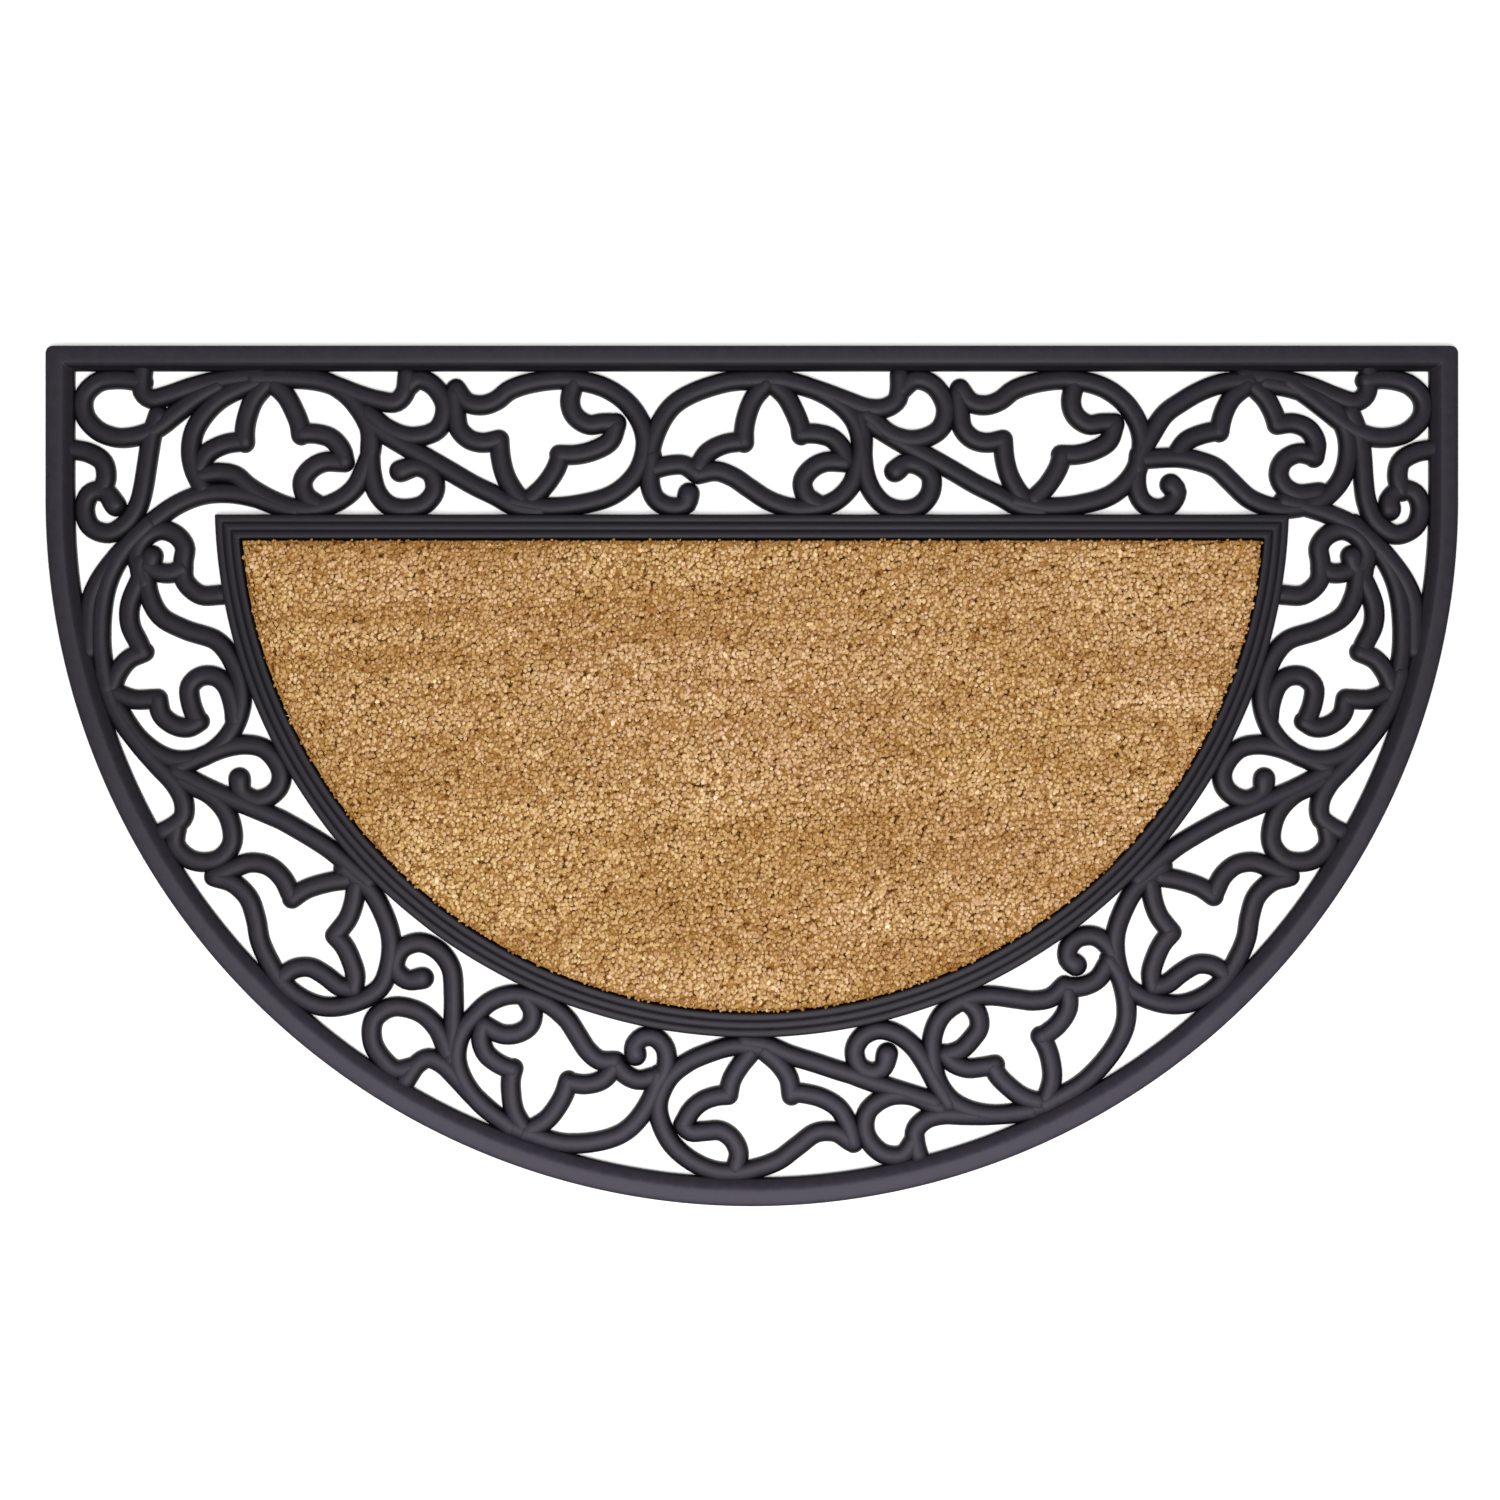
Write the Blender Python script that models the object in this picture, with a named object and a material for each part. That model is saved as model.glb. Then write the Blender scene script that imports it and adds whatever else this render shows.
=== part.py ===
"""A half-round coir doormat: a moulded rubber frame with an openwork scroll border, and a coir pad.

The mat lies flat on the floor. X runs along its straight edge, Y from the round front to the straight
back edge, Z up. The origin is under the middle of its bounding box, on the underside.
"""

import bmesh
import bpy
import numpy as np
from mathutils.geometry import delaunay_2d_cdt

MM = 0.001

# Outline: a half disc as wide as the mat, and straight sides up to the straight edge, in millimetres.
MAT_RADIUS = 457.0
SIDE_STRAIGHT = 100.0
MAT_DEPTH = MAT_RADIUS + SIDE_STRAIGHT
ARC_CENTRE_Y = MAT_RADIUS - MAT_DEPTH / 2
CORNER_ROUNDING = 5.0
LEAST_ROUNDING = 1.0
CORNER_CLEARANCE = 0.5
ARC_STEPS = 56
CORNER_STEPS = 4

# Bands of the moulding, as insets from the mat's edge.
RIM_CREST_INSET = 14.0
LEDGE_INSET = 18.0
SCROLL_WIDTH = 91.0
TRIM_INSET = LEDGE_INSET + SCROLL_WIDTH
TRIM_FOOT = 2.6
TRIM_WIDTH = 17.0
TRAY_INSET = TRIM_INSET + TRIM_WIDTH

# Heights above the floor.
TRAY_HEIGHT = 2.0
SCROLL_HEIGHT = 7.0
RIM_HEIGHT = 10.0
TRIM_HEIGHT = 9.5
TRIM_GROOVE = 1.5
PAD_HEIGHT = 13.0
SEAT_GAP = 0.4

# The rim's section, from its outer foot to the ledge. Columns: inset from the mat's edge, height.
RIM_BEVEL = 1.6
LEDGE_SLOPE = 2.5
RIM_SECTION = (
    (0.0, 0.0),
    (0.0, RIM_HEIGHT - RIM_BEVEL),
    (RIM_BEVEL, RIM_HEIGHT),
    (RIM_CREST_INSET - LEDGE_SLOPE, RIM_HEIGHT),
    (RIM_CREST_INSET, SCROLL_HEIGHT),
)

# The three ribs of the trim, side by side.
TRIM_RIBS = 3
RIB_PITCH = (TRIM_WIDTH - TRIM_FOOT) / TRIM_RIBS
RIB_TOP_WIDTH = 2.8

# The pad's top: rings at these insets from its edge, with the pile's low unevenness.
# Columns: inset from the pad's edge, height below the top of the pile.
PAD_RINGS = (
    (0.0, 2.2),
    (1.2, 0.8),
    (4.0, 0.4),
    (24.0, 0.4),
    (54.0, 0.4),
    (90.0, 0.4),
    (126.0, 0.4),
)
PILE_UNEVENNESS = 0.35
PILE_WAVE_X = 97.0
PILE_WAVE_Y = 61.0

# The rubber strands of the scrollwork, and how finely their curves are divided.
STRAND_WIDTH = 13.0
STRAND_DRAFT = 2.2
BALL_RADIUS = 7.0
BALL_STEPS = 14
END_STEPS = 4
CURVE_SAMPLES = 20
TURN_PER_STEP = np.radians(22)
LONGEST_STEP = 24.0
SMALLEST_GAP = 30.0
SHORTEST_EDGE = 1.2
GAP_TOLERANCE = 0.3
MERGE_DISTANCE = 0.0001

# The chart of one repeat of the scrollwork. U runs along the band and V across it, from the trim to the rim.
# A flower that points outwards has its tip at U 0, one that points inwards at U 170, the next at U 327.
CHART_HEIGHT = 93.5
CHART_STATIONS = (-100, 0, 118, 170, 250, 327)

# Columns of each strand: its name, whether it ends in a ball, and the (U, V) points that its middle passes.
ARCH_FOOT = (
    ("arch left", False, ((-75, 30), (-75, 46), (-61, 73), (-28, 88), (2, 90))),
    ("small curl", True, ((-75, 40), (-76, 20), (-72, 10), (-62, 5), (-53, 7), (-51, 14))),
    ("stem", False, ((-75, 30), (-63, 33), (-54, 33), (-45, 27))),
)
FRONT_ARCH_FOOT = (
    ("arch left", False, ((-79, 30), (-77, 46), (-62, 72), (-28, 88), (2, 90))),
    ("small curl", True, ((-78, 40), (-84, 24), (-81, 12), (-71, 6), (-61, 8), (-57, 14), (-59, 20))),
    ("stem", False, ((-76, 32), (-65, 36), (-54, 34), (-45, 28))),
)
FLOWER_TIP = (
    ("top petal left", False, ((0, 88), (-9, 77), (-13, 67), (-15, 57), (-15, 48))),
    ("top petal right", False, ((4, 87), (12, 79), (17, 70), (21, 60), (22, 53))),
    ("left petal", False, ((-15, 49), (-28, 47), (-39, 41), (-45, 31))),
)
LOOP = (
    ("loop", False, ((10, 90), (34, 82), (48, 73), (57, 62), (61, 47), (59, 33), (54, 19), (42, 8), (20, 4),
                     (2, 9), (-12, 18), (-22, 25), (-33, 29), (-45, 27))),
)
CORNER_LOOP = (
    ("loop", False, ((10, 91), (34, 90), (50, 82), (61, 70), (68, 56), (69, 45), (65, 32), (57, 17), (42, 7),
                     (20, 4), (2, 10), (-13, 19), (-21, 26), (-31, 28), (-45, 26))),
)
RIGHT_PETAL = (
    ("right petal top", False, ((22, 54), (32, 54), (42, 51), (49, 43), (51, 35))),
    ("right petal foot", False, ((51, 35), (37, 35), (28, 30), (23, 22), (25, 13), (34, 6))),
)
LOW_RIGHT_PETAL = (
    ("right petal top", False, ((20, 52), (29, 50), (39, 47), (47, 40), (50, 33))),
    ("right petal foot", False, ((50, 34), (38, 34), (28, 30), (20, 25), (17, 17), (19, 9), (24, 4))),
)
S_CURL = (
    ("S curl", True, ((60, 66), (62, 52), (62, 38), (64, 25), (69, 14), (77, 6), (88, 3), (99, 6), (106, 15),
                      (106, 26), (98, 33), (90, 34), (83, 29))),
)
CORNER_S_CURL = (
    ("S curl", True, ((64, 68), (68, 55), (68, 40), (69, 27), (73, 14), (81, 6), (92, 4), (104, 7), (111, 16),
                      (109, 27), (100, 32), (88, 29))),
)
SIDE_S_CURL = (
    ("S curl", True, ((57, 66), (57, 45), (58, 30), (62, 17), (69, 8), (80, 4), (91, 5), (98, 11), (100, 20),
                      (97, 29), (88, 34), (80, 31))),
)
DEEP_S_CURL = (
    ("S curl", True, ((58, 66), (62, 50), (65, 36), (70, 22), (79, 11), (92, 5), (105, 7), (113, 15),
                      (112, 26), (103, 32), (95, 30), (90, 22))),
)
WIDE_S_CURL = (
    ("S curl", True, ((58, 66), (68, 45), (78, 27), (89, 13), (103, 8), (117, 11), (124, 22), (120, 34),
                      (109, 36), (101, 29))),
)
ARCH_RIGHT = (
    ("arch right", False, ((-10, 90), (12, 89), (35, 82), (51, 76), (65, 71), (76, 71), (84, 76), (86, 84),
                           (86, 93))),
    ("leaf", False, ((86, 82), (96, 90), (108, 86), (116, 71), (112, 57), (97, 50), (81, 53), (64, 67))),
)
CORNER_ARCH_RIGHT = (
    ("arch right", False, ((-10, 91), (12, 91), (34, 89), (47, 85), (60, 80), (74, 76), (85, 75), (91, 81),
                           (93, 93))),
    ("leaf", False, ((92, 84), (100, 90), (110, 86), (118, 72), (113, 57), (96, 52), (80, 57), (66, 68))),
)
FRONT_ARCH_RIGHT = (
    ("arch right", False, ((-10, 90), (12, 89), (36, 81), (50, 75), (62, 71), (71, 72), (75, 79), (76, 93))),
    ("leaf", False, ((76, 82), (84, 90), (93, 89), (104, 83), (111, 70), (106, 56), (90, 49), (76, 52),
                     (62, 63))),
)
DIAGONAL = (
    ("diagonal", False, ((66, 62), (73, 57), (84, 50), (96, 43), (109, 36), (121, 29), (136, 20), (150, 13),
                         (165, 5), (180, 3))),
)
SIDE_DIAGONAL = (
    ("diagonal", False, ((58, 67), (72, 56), (88, 43), (105, 30), (120, 20), (135, 12), (148, 7), (165, 4),
                         (180, 3))),
)
INWARD_FLOWER = (
    ("ring", False, ((125, 84), (132, 75), (142, 73), (151, 76), (160, 83), (175, 88), (198, 90), (223, 84),
                     (240, 70), (248, 50), (243, 29), (228, 14), (206, 7), (182, 5), (160, 9))),
    ("left petal foot", False, ((124, 81), (125, 67), (127, 57), (134, 50), (143, 48), (153, 50))),
    ("tip petal left", False, ((153, 50), (154, 38), (157, 26), (163, 15), (168, 9))),
    ("tip petal right", False, ((173, 10), (183, 20), (190, 31), (193, 40))),
    ("right petal foot", False, ((192, 40), (203, 40), (215, 43), (225, 49), (229, 60))),
    ("right petal top", False, ((229, 61), (220, 61), (211, 60), (202, 66), (199, 75), (202, 89))),
)
SIDE_INWARD_FLOWER = (
    ("ring", False, ((122, 80), (130, 72), (140, 70), (150, 75), (160, 83), (175, 89), (198, 91), (223, 84),
                     (240, 68), (248, 50), (241, 33), (228, 20), (208, 11), (184, 6), (160, 9))),
    ("left petal foot", False, ((122, 80), (124, 66), (127, 54), (134, 46), (143, 44), (153, 47))),
    ("tip petal left", False, ((154, 48), (155, 37), (160, 23), (166, 12))),
    ("tip petal right", False, ((173, 10), (183, 20), (189, 30), (191, 43))),
    ("right petal foot", False, ((191, 44), (203, 45), (215, 49), (226, 55), (232, 63))),
    ("right petal top", False, ((231, 63), (222, 67), (207, 68), (194, 71), (186, 79), (184, 89))),
)
FRONT_INWARD_FLOWER = (
    ("ring", False, ((124, 75), (131, 67), (140, 66), (150, 74), (160, 83), (175, 89), (198, 90), (220, 82),
                     (235, 70), (245, 50), (240, 32), (227, 20), (210, 12), (186, 6), (160, 9))),
    ("left petal foot", False, ((123, 76), (124, 64), (128, 51), (136, 43), (145, 39), (151, 38))),
    ("tip petal left", False, ((151, 40), (152, 28), (157, 18), (165, 9))),
    ("tip petal right", False, ((173, 10), (183, 20), (189, 29), (191, 38))),
    ("right petal foot", False, ((191, 39), (200, 40), (211, 44), (219, 51), (224, 61))),
    ("right petal top", False, ((224, 61), (218, 65), (208, 64), (196, 63), (187, 68), (182, 77), (184, 88))),
)
# The flowers beside the two corners have a hooked right petal, and the side flowers grow from the corner.
HOOKED_PETAL = (
    ("hook top", False, ((14, 60), (24, 61), (33, 55), (37, 47), (36, 39))),
    ("hook foot", False, ((36, 40), (23, 40), (13, 37), (9, 28), (12, 19), (20, 14), (34, 14), (45, 17))),
)
CORNER_FLOWER = (
    ("arch left", False, ((-77, 30), (-74, 42), (-67, 54), (-58, 67), (-45, 76), (-34, 82), (-20, 87),
                          (2, 90))),
    ("small curl", True, ((-76, 40), (-78, 20), (-74, 9), (-64, 4), (-54, 7), (-50, 15), (-54, 20))),
    ("top petal left", False, ((0, 87), (-11, 78), (-16, 70), (-19, 61), (-20, 55))),
    ("top petal right", False, ((3, 86), (11, 77), (16, 67), (18, 60))),
    ("left petal", False, ((-20, 56), (-31, 54), (-43, 49), (-50, 40))),
    ("hook top", False, ((18, 60), (28, 61), (37, 57), (42, 48), (41, 38))),
    ("hook foot", False, ((41, 39), (31, 41), (22, 36), (19, 27), (22, 19), (30, 14), (44, 15))),
    ("loop", False, ((10, 88), (28, 84), (43, 78), (53, 70), (60, 57), (62, 45), (60, 30), (54, 18), (42, 8),
                     (20, 4), (2, 10), (-13, 23), (-22, 31), (-32, 35), (-48, 38), (-74, 37))),
)
SIDE_FLOWER = (
    ("arch left", False, ((-97, 44), (-82, 61), (-61, 76), (-30, 86), (0, 90))),
    ("top petal left", False, ((0, 87), (-8, 80), (-14, 71), (-16, 60))),
    ("top petal right", False, ((3, 86), (10, 75), (13, 64), (14, 60))),
    ("left petal", False, ((-64, 52), (-46, 63), (-34, 65), (-22, 62), (-16, 61))),
    ("loop", False, ((10, 88), (34, 80), (50, 67), (57, 49), (55, 32), (47, 18), (34, 8), (18, 4), (0, 6),
                     (-12, 12), (-24, 30), (-36, 44), (-50, 49), (-67, 50))),
)
LEFT_CORNER_RING = (
    ("ring", False, ((0, 91), (-16, 85), (-31, 77), (-41, 67), (-48, 55), (-50, 42), (-48, 30), (-42, 17))),
)
# The corner strands, charted as X and Y from the centre of the arc. The left corner mirrors them.
CORNER = (
    ("rim hook", False, ((445, 34), (430, 31), (421, 25), (419, 15), (422, 6))),
    ("side ring", True, ((344, -61), (358, -61), (368, -52), (369, -40), (368, -30), (374, -22), (384, -19),
                         (394, -24), (399, -34), (397, -43), (392, -44), (389, -36))),
    ("ring foot", False, ((369, -44), (377, -47), (386, -46), (393, -42))),
    ("ring to petal", False, ((397, -38), (397, -46), (394, -54))),
)
RIGHT_CORNER = CORNER + (
    ("arch", False, ((318, 81), (340, 79), (362, 74), (380, 67), (391, 64), (398, 68), (400, 76), (400, 88))),
    ("leaf", False, ((398, 78), (412, 79), (427, 75), (435, 66), (435, 55), (426, 45), (413, 41), (400, 42),
                     (387, 48), (374, 58), (361, 68), (348, 77))),
    ("spiral", True, ((388, 58), (394, 42), (396, 28), (397, 13), (399, -1), (405, -14), (418, -22),
                      (430, -17), (434, -5), (430, 5), (421, 7), (414, 1), (414, -6))),
    ("root", False, ((345, 0), (360, -4), (375, -9), (390, -16), (403, -27), (415, -40), (424, -53),
                     (429, -66), (430, -82), (430, -98))),
)
LEFT_CORNER = CORNER + (
    ("arch", False, ((318, 81), (340, 79), (362, 74), (380, 68), (389, 66), (395, 70), (395, 88))),
    ("leaf", False, ((395, 77), (410, 79), (424, 77), (433, 68), (433, 56), (425, 46), (412, 41), (399, 42),
                     (386, 47), (373, 57), (360, 67), (346, 75))),
    ("spiral", True, ((385, 56), (389, 44), (391, 33), (393, 20), (395, 8), (398, -3), (405, -14), (417, -21),
                      (429, -17), (433, -5), (429, 5), (420, 6), (413, -3))),
    ("root", False, ((296, -6), (308, -3), (322, 2), (339, 5), (356, 4), (372, -2), (389, -14), (403, -27),
                     (415, -40), (424, -53), (429, -66), (430, -82), (430, -98))),
)

# Where the repeats lie. Columns: mirrored or not, the stations of the chart's six marks along the band in
# millimetres, and the strands. The straight band is measured from its middle, the round one from its end.
SIDE_REPEAT = SIDE_FLOWER + HOOKED_PETAL + SIDE_S_CURL + ARCH_RIGHT + SIDE_DIAGONAL + SIDE_INWARD_FLOWER
STRAIGHT_REPEATS = (
    (False, (-414, -314, -199, -147, -67, 10),
     LEFT_CORNER_RING + FLOWER_TIP + CORNER_LOOP + RIGHT_PETAL + CORNER_S_CURL + CORNER_ARCH_RIGHT + DIAGONAL
     + INWARD_FLOWER),
    (False, (-90, 10, 128, 180, 255, 322),
     ARCH_FOOT + FLOWER_TIP + LOOP + RIGHT_PETAL + S_CURL + ARCH_RIGHT + DIAGONAL + INWARD_FLOWER),
    (False, (229, 322, 446, 501, 585, 666), CORNER_FLOWER),
)
ROUND_REPEATS = (
    (False, (12, 112, 235, 298, 361, 439), SIDE_REPEAT),
    (False, (336, 439, 550, 616, 683, 752),
     FRONT_ARCH_FOOT + FLOWER_TIP + LOOP + LOW_RIGHT_PETAL + DEEP_S_CURL + ARCH_RIGHT + DIAGONAL
     + FRONT_INWARD_FLOWER),
    (False, (663, 752, 873, 926, 1009, 1088),
     FRONT_ARCH_FOOT + FLOWER_TIP + LOOP + RIGHT_PETAL + WIDE_S_CURL + FRONT_ARCH_RIGHT),
    (True, (12, 112, 235, 301, 363, 443), SIDE_REPEAT),
)


def d_outline(inset):
    """The mat's outline at an inset from its edge, anticlockwise from the right corner.

    It is in millimetres about the arc's centre. Every outline has the same number of points, so that two of
    them can be joined into a band.
    """
    radius = MAT_RADIUS - inset
    edge_y = SIDE_STRAIGHT - inset
    rounding = max(CORNER_ROUNDING - inset, LEAST_ROUNDING)
    corner_x = np.sqrt(radius ** 2 - min(edge_y, 0.0) ** 2)
    quarter = np.linspace(0, np.pi / 2, CORNER_STEPS + 1)
    corner_right = np.column_stack([
        corner_x - rounding + rounding * np.cos(quarter),
        edge_y - rounding + rounding * np.sin(quarter),
    ])
    corner_left = corner_right[::-1] * (-1, 1)
    arc_end_y = min(0.0, edge_y - rounding - CORNER_CLEARANCE)
    dip = np.arcsin(-arc_end_y / radius)
    angles = np.linspace(np.pi + dip, 2 * np.pi - dip, ARC_STEPS + 1)
    arc = radius * np.column_stack([np.cos(angles), np.sin(angles)])
    return np.vstack([corner_right, corner_left, arc])


def smooth_path(points):
    """A centripetal Catmull-Rom curve through the points, finely sampled."""
    marks = np.asarray(points, float)
    marks = np.vstack([2 * marks[0] - marks[1], marks, 2 * marks[-1] - marks[-2]])
    chords = np.linalg.norm(np.diff(marks, axis=0), axis=1)
    knots = np.concatenate([[0.0], np.cumsum(np.sqrt(chords))])
    pieces = []
    for i in range(1, len(marks) - 2):
        p0, p1, p2, p3 = marks[i - 1:i + 3]
        t0, t1, t2, t3 = knots[i - 1:i + 3]
        t = np.linspace(t1, t2, CURVE_SAMPLES, endpoint=False)[:, None]
        a1 = ((t1 - t) * p0 + (t - t0) * p1) / (t1 - t0)
        a2 = ((t2 - t) * p1 + (t - t1) * p2) / (t2 - t1)
        a3 = ((t3 - t) * p2 + (t - t2) * p3) / (t3 - t2)
        b1 = ((t2 - t) * a1 + (t - t0) * a2) / (t2 - t0)
        b2 = ((t3 - t) * a2 + (t - t1) * a3) / (t3 - t1)
        pieces.append(((t2 - t) * b1 + (t - t1) * b2) / (t2 - t1))
    return np.vstack(pieces + [marks[-2:-1]])


def on_straight_band(path, stations):
    """Lay a charted path on the straight band, in millimetres about the arc's centre."""
    along = np.interp(path[:, 0], CHART_STATIONS, stations)
    across = path[:, 1] * SCROLL_WIDTH / CHART_HEIGHT
    return np.column_stack([along, SIDE_STRAIGHT - TRIM_INSET + across])


def on_round_band(path, stations):
    """Lay a charted path on the round band, which runs clockwise from its right end."""
    along = np.interp(path[:, 0], CHART_STATIONS, stations)
    across = path[:, 1] * SCROLL_WIDTH / CHART_HEIGHT
    angle = along / (MAT_RADIUS - LEDGE_INSET - SCROLL_WIDTH / 2)
    radius = MAT_RADIUS - TRIM_INSET + across
    return np.column_stack([radius * np.cos(angle), -radius * np.sin(angle)])


def place_strands():
    """Every strand of the scrollwork: its middle line, and whether it ends in a ball."""
    placed = []
    for lay, repeats in ((on_straight_band, STRAIGHT_REPEATS), (on_round_band, ROUND_REPEATS)):
        for mirrored, stations, strands in repeats:
            side = (-1, 1) if mirrored else (1, 1)
            for _, ball, points in strands:
                placed.append((lay(smooth_path(points), stations) * side, ball))
    for side, strands in (((1, 1), RIGHT_CORNER), ((-1, 1), LEFT_CORNER)):
        for _, ball, points in strands:
            placed.append((smooth_path(points) * side, ball))
    return placed


def thin_out(path):
    """The points to keep of a fine path: where it has turned, or run on, far enough since the last one."""
    steps = np.diff(path, axis=0)
    lengths = np.linalg.norm(steps, axis=1)
    headings = np.unwrap(np.arctan2(steps[:, 1], steps[:, 0]))
    keep = [0]
    turned = run = 0.0
    for i in range(1, len(path) - 1):
        turned += abs(headings[i] - headings[i - 1])
        run += lengths[i - 1]
        if turned > TURN_PER_STEP or run > LONGEST_STEP:
            keep.append(i)
            turned = run = 0.0
    return keep + [len(path) - 1]


def strand_cells(path, ball):
    """The flat cells that a strand covers: a quad for each step, and a rounded or a ball end."""
    tangents = np.gradient(path, axis=0)
    tangents /= np.linalg.norm(tangents, axis=1)[:, None]
    normals = np.column_stack([-tangents[:, 1], tangents[:, 0]])
    keep = thin_out(path)
    left = path[keep] + normals[keep] * STRAND_WIDTH / 2
    right = path[keep] - normals[keep] * STRAND_WIDTH / 2
    cells = [[left[i], right[i], right[i + 1], left[i + 1]] for i in range(len(keep) - 1)]
    sweep = np.linspace(-np.pi / 2, np.pi / 2, END_STEPS + 1)[:, None]
    for end, ahead in ((0, -1), (-1, 1)):
        across = np.cos(sweep) * tangents[end] * ahead + np.sin(sweep) * normals[end]
        cells.append(list(path[end] + across * STRAND_WIDTH / 2))
    if ball:
        turn = np.linspace(0, 2 * np.pi, BALL_STEPS, endpoint=False)
        cells.append(list(path[-1] + BALL_RADIUS * np.column_stack([np.cos(turn), np.sin(turn)])))
    return cells


def band_cells(outer_inset, inner_inset):
    """The flat cells of a band between two outlines of the mat."""
    outer, inner = d_outline(outer_inset), d_outline(inner_inset)
    count = len(outer)
    return [[outer[i], outer[(i + 1) % count], inner[(i + 1) % count], inner[i]] for i in range(count)]


def inside(loop, points):
    """Which of the points lie inside a loop: a ray from them crosses it an odd number of times."""
    odd = np.zeros(len(points), bool)
    for (x0, y0), (x1, y1) in zip(loop, np.roll(loop, -1, axis=0)):
        if y0 == y1:
            continue
        spans = (points[:, 1] >= min(y0, y1)) & (points[:, 1] < max(y0, y1))
        odd ^= spans & (points[:, 0] < x0 + (points[:, 1] - y0) * (x1 - x0) / (y1 - y0))
    return odd


def flat_triangles(loops):
    """Triangulate the loops' sheet: its points, triangles, their middles, and each point's origins."""
    points, edges = [], []
    for loop in loops:
        first, count = len(points), len(loop)
        edges.extend((first + i, first + (i + 1) % count) for i in range(count))
        points.extend(tuple(map(float, point)) for point in loop)
    found, _, triangles, origins, _, _ = delaunay_2d_cdt(points, edges, [], 0, MERGE_DISTANCE, True)
    found = np.array([tuple(point) for point in found])
    triangles = np.array(triangles)
    return found, triangles, found[triangles].mean(axis=1), origins


def signed_area(loop):
    """The area inside a loop, positive where it runs anticlockwise."""
    x, y = loop[:, 0], loop[:, 1]
    return 0.5 * float(np.sum(x * np.roll(y, -1) - y * np.roll(x, -1)))


def chain(edges):
    """Join directed edges into closed loops of vertex numbers."""
    after = {}
    for start, end in edges:
        after.setdefault(start, []).append(end)
    loops = []
    while after:
        start = next(iter(after))
        loop, here = [], start
        while here in after:
            loop.append(here)
            ends = after.pop(here)
            if ends[1:]:
                after[here] = ends[1:]
            here = ends[0]
        loops.append(loop)
    return loops


def tidy_loop(loop):
    """Drop the points of a loop that lie on its line, or too close to the next one."""
    points = [np.array(point) for point in loop]
    changed = True
    while changed and len(points) > 3:
        changed = False
        for i in range(len(points)):
            before, here, after = points[i - 1], points[i], points[(i + 1) % len(points)]
            chord = after - before
            length = np.linalg.norm(chord)
            away = abs(chord[0] * (here - before)[1] - chord[1] * (here - before)[0]) / max(length, 1e-6)
            if away < GAP_TOLERANCE or np.linalg.norm(here - before) < SHORTEST_EDGE:
                del points[i]
                changed = True
                break
    return np.array(points)


def scroll_gaps():
    """The outlines of the gaps in the scrollwork, anticlockwise, about the arc's centre."""
    cells = band_cells(0.0, LEDGE_INSET) + band_cells(TRIM_INSET, TRAY_INSET)
    for path, ball in place_strands():
        cells.extend(strand_cells(path, ball))
    points, triangles, middles, _ = flat_triangles(cells)
    covered = np.zeros(len(triangles), bool)
    for cell in cells:
        covered |= inside(np.array(cell), middles)
    edges = {}
    for corners in triangles[~covered].tolist():
        if signed_area(points[corners]) < 0:
            corners.reverse()
        for i in range(3):
            edge = (corners[i], corners[(i + 1) % 3])
            if edge[::-1] in edges:
                del edges[edge[::-1]]
            else:
                edges[edge] = True
    tray_area = signed_area(d_outline(TRAY_INSET))
    gaps = []
    for loop in chain(edges):
        gap = tidy_loop(points[loop])
        if SMALLEST_GAP < signed_area(gap) < tray_area / 2:
            gaps.append(gap)
    return gaps


def draft_in(loop, depth):
    """Move a gap's outline into the rubber, for walls that lean: the gap is wider at its top."""
    ahead = np.roll(loop, -1, axis=0) - loop
    ahead /= np.linalg.norm(ahead, axis=1)[:, None]
    out = np.column_stack([ahead[:, 1], -ahead[:, 0]])
    both = out + np.roll(out, 1, axis=0)
    mitre = both / np.maximum(np.sum(both * both, axis=1) / 2, 1.0)[:, None]
    return loop + mitre * depth


def covered_by_first(loops):
    """Triangles inside the first loop and in none of the others, as numbers into the stacked points."""
    _, triangles, middles, origins = flat_triangles(loops)
    count = sum(len(loop) for loop in loops)
    if len(origins) != count:
        print("flat sheet: loops meet,", count, "points in,", len(origins), "out")
    kept = inside(loops[0], middles)
    for loop in loops[1:]:
        kept &= ~inside(loop, middles)
    return [[origins[corner][0] for corner in triangle] for triangle in triangles[kept].tolist()]


class Builder:
    """Collects points and faces of one solid, in millimetres about the arc's centre."""

    def __init__(self):
        self.points = []
        self.faces = []

    def loop(self, outline, height):
        """Add an outline at one height, or at a height for each point, and return its numbers."""
        first = len(self.points)
        heights = np.broadcast_to(height, len(outline))
        self.points.extend(np.column_stack([outline, heights]))
        return list(range(first, first + len(outline)))

    def band(self, lower, upper):
        """Join two loops of the same length."""
        count = len(lower)
        for i in range(count):
            j = (i + 1) % count
            self.faces.append((lower[i], lower[j], upper[j], upper[i]))

    def sheet(self, loops, outlines):
        """Close the plane between the first loop and the loops inside it."""
        numbers = [number for loop in loops for number in loop]
        for triangle in covered_by_first(outlines):
            self.faces.append(tuple(numbers[corner] for corner in triangle))

    def to_object(self, name, collection, material):
        """Make the solid a mesh object that stands with the mat's middle at the origin."""
        points = (np.array(self.points) + (0.0, ARC_CENTRE_Y, 0.0)) * MM
        mesh = bpy.data.meshes.new(name)
        mesh.from_pydata(points.tolist(), [], self.faces)
        bm = bmesh.new()
        bm.from_mesh(mesh)
        bmesh.ops.triangulate(bm, faces=[face for face in bm.faces if len(face.verts) > 3])
        bmesh.ops.recalc_face_normals(bm, faces=bm.faces)
        bm.to_mesh(mesh)
        bm.free()
        mesh.materials.append(material)
        piece = bpy.data.objects.new(name, mesh)
        collection.objects.link(piece)
        return piece


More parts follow.
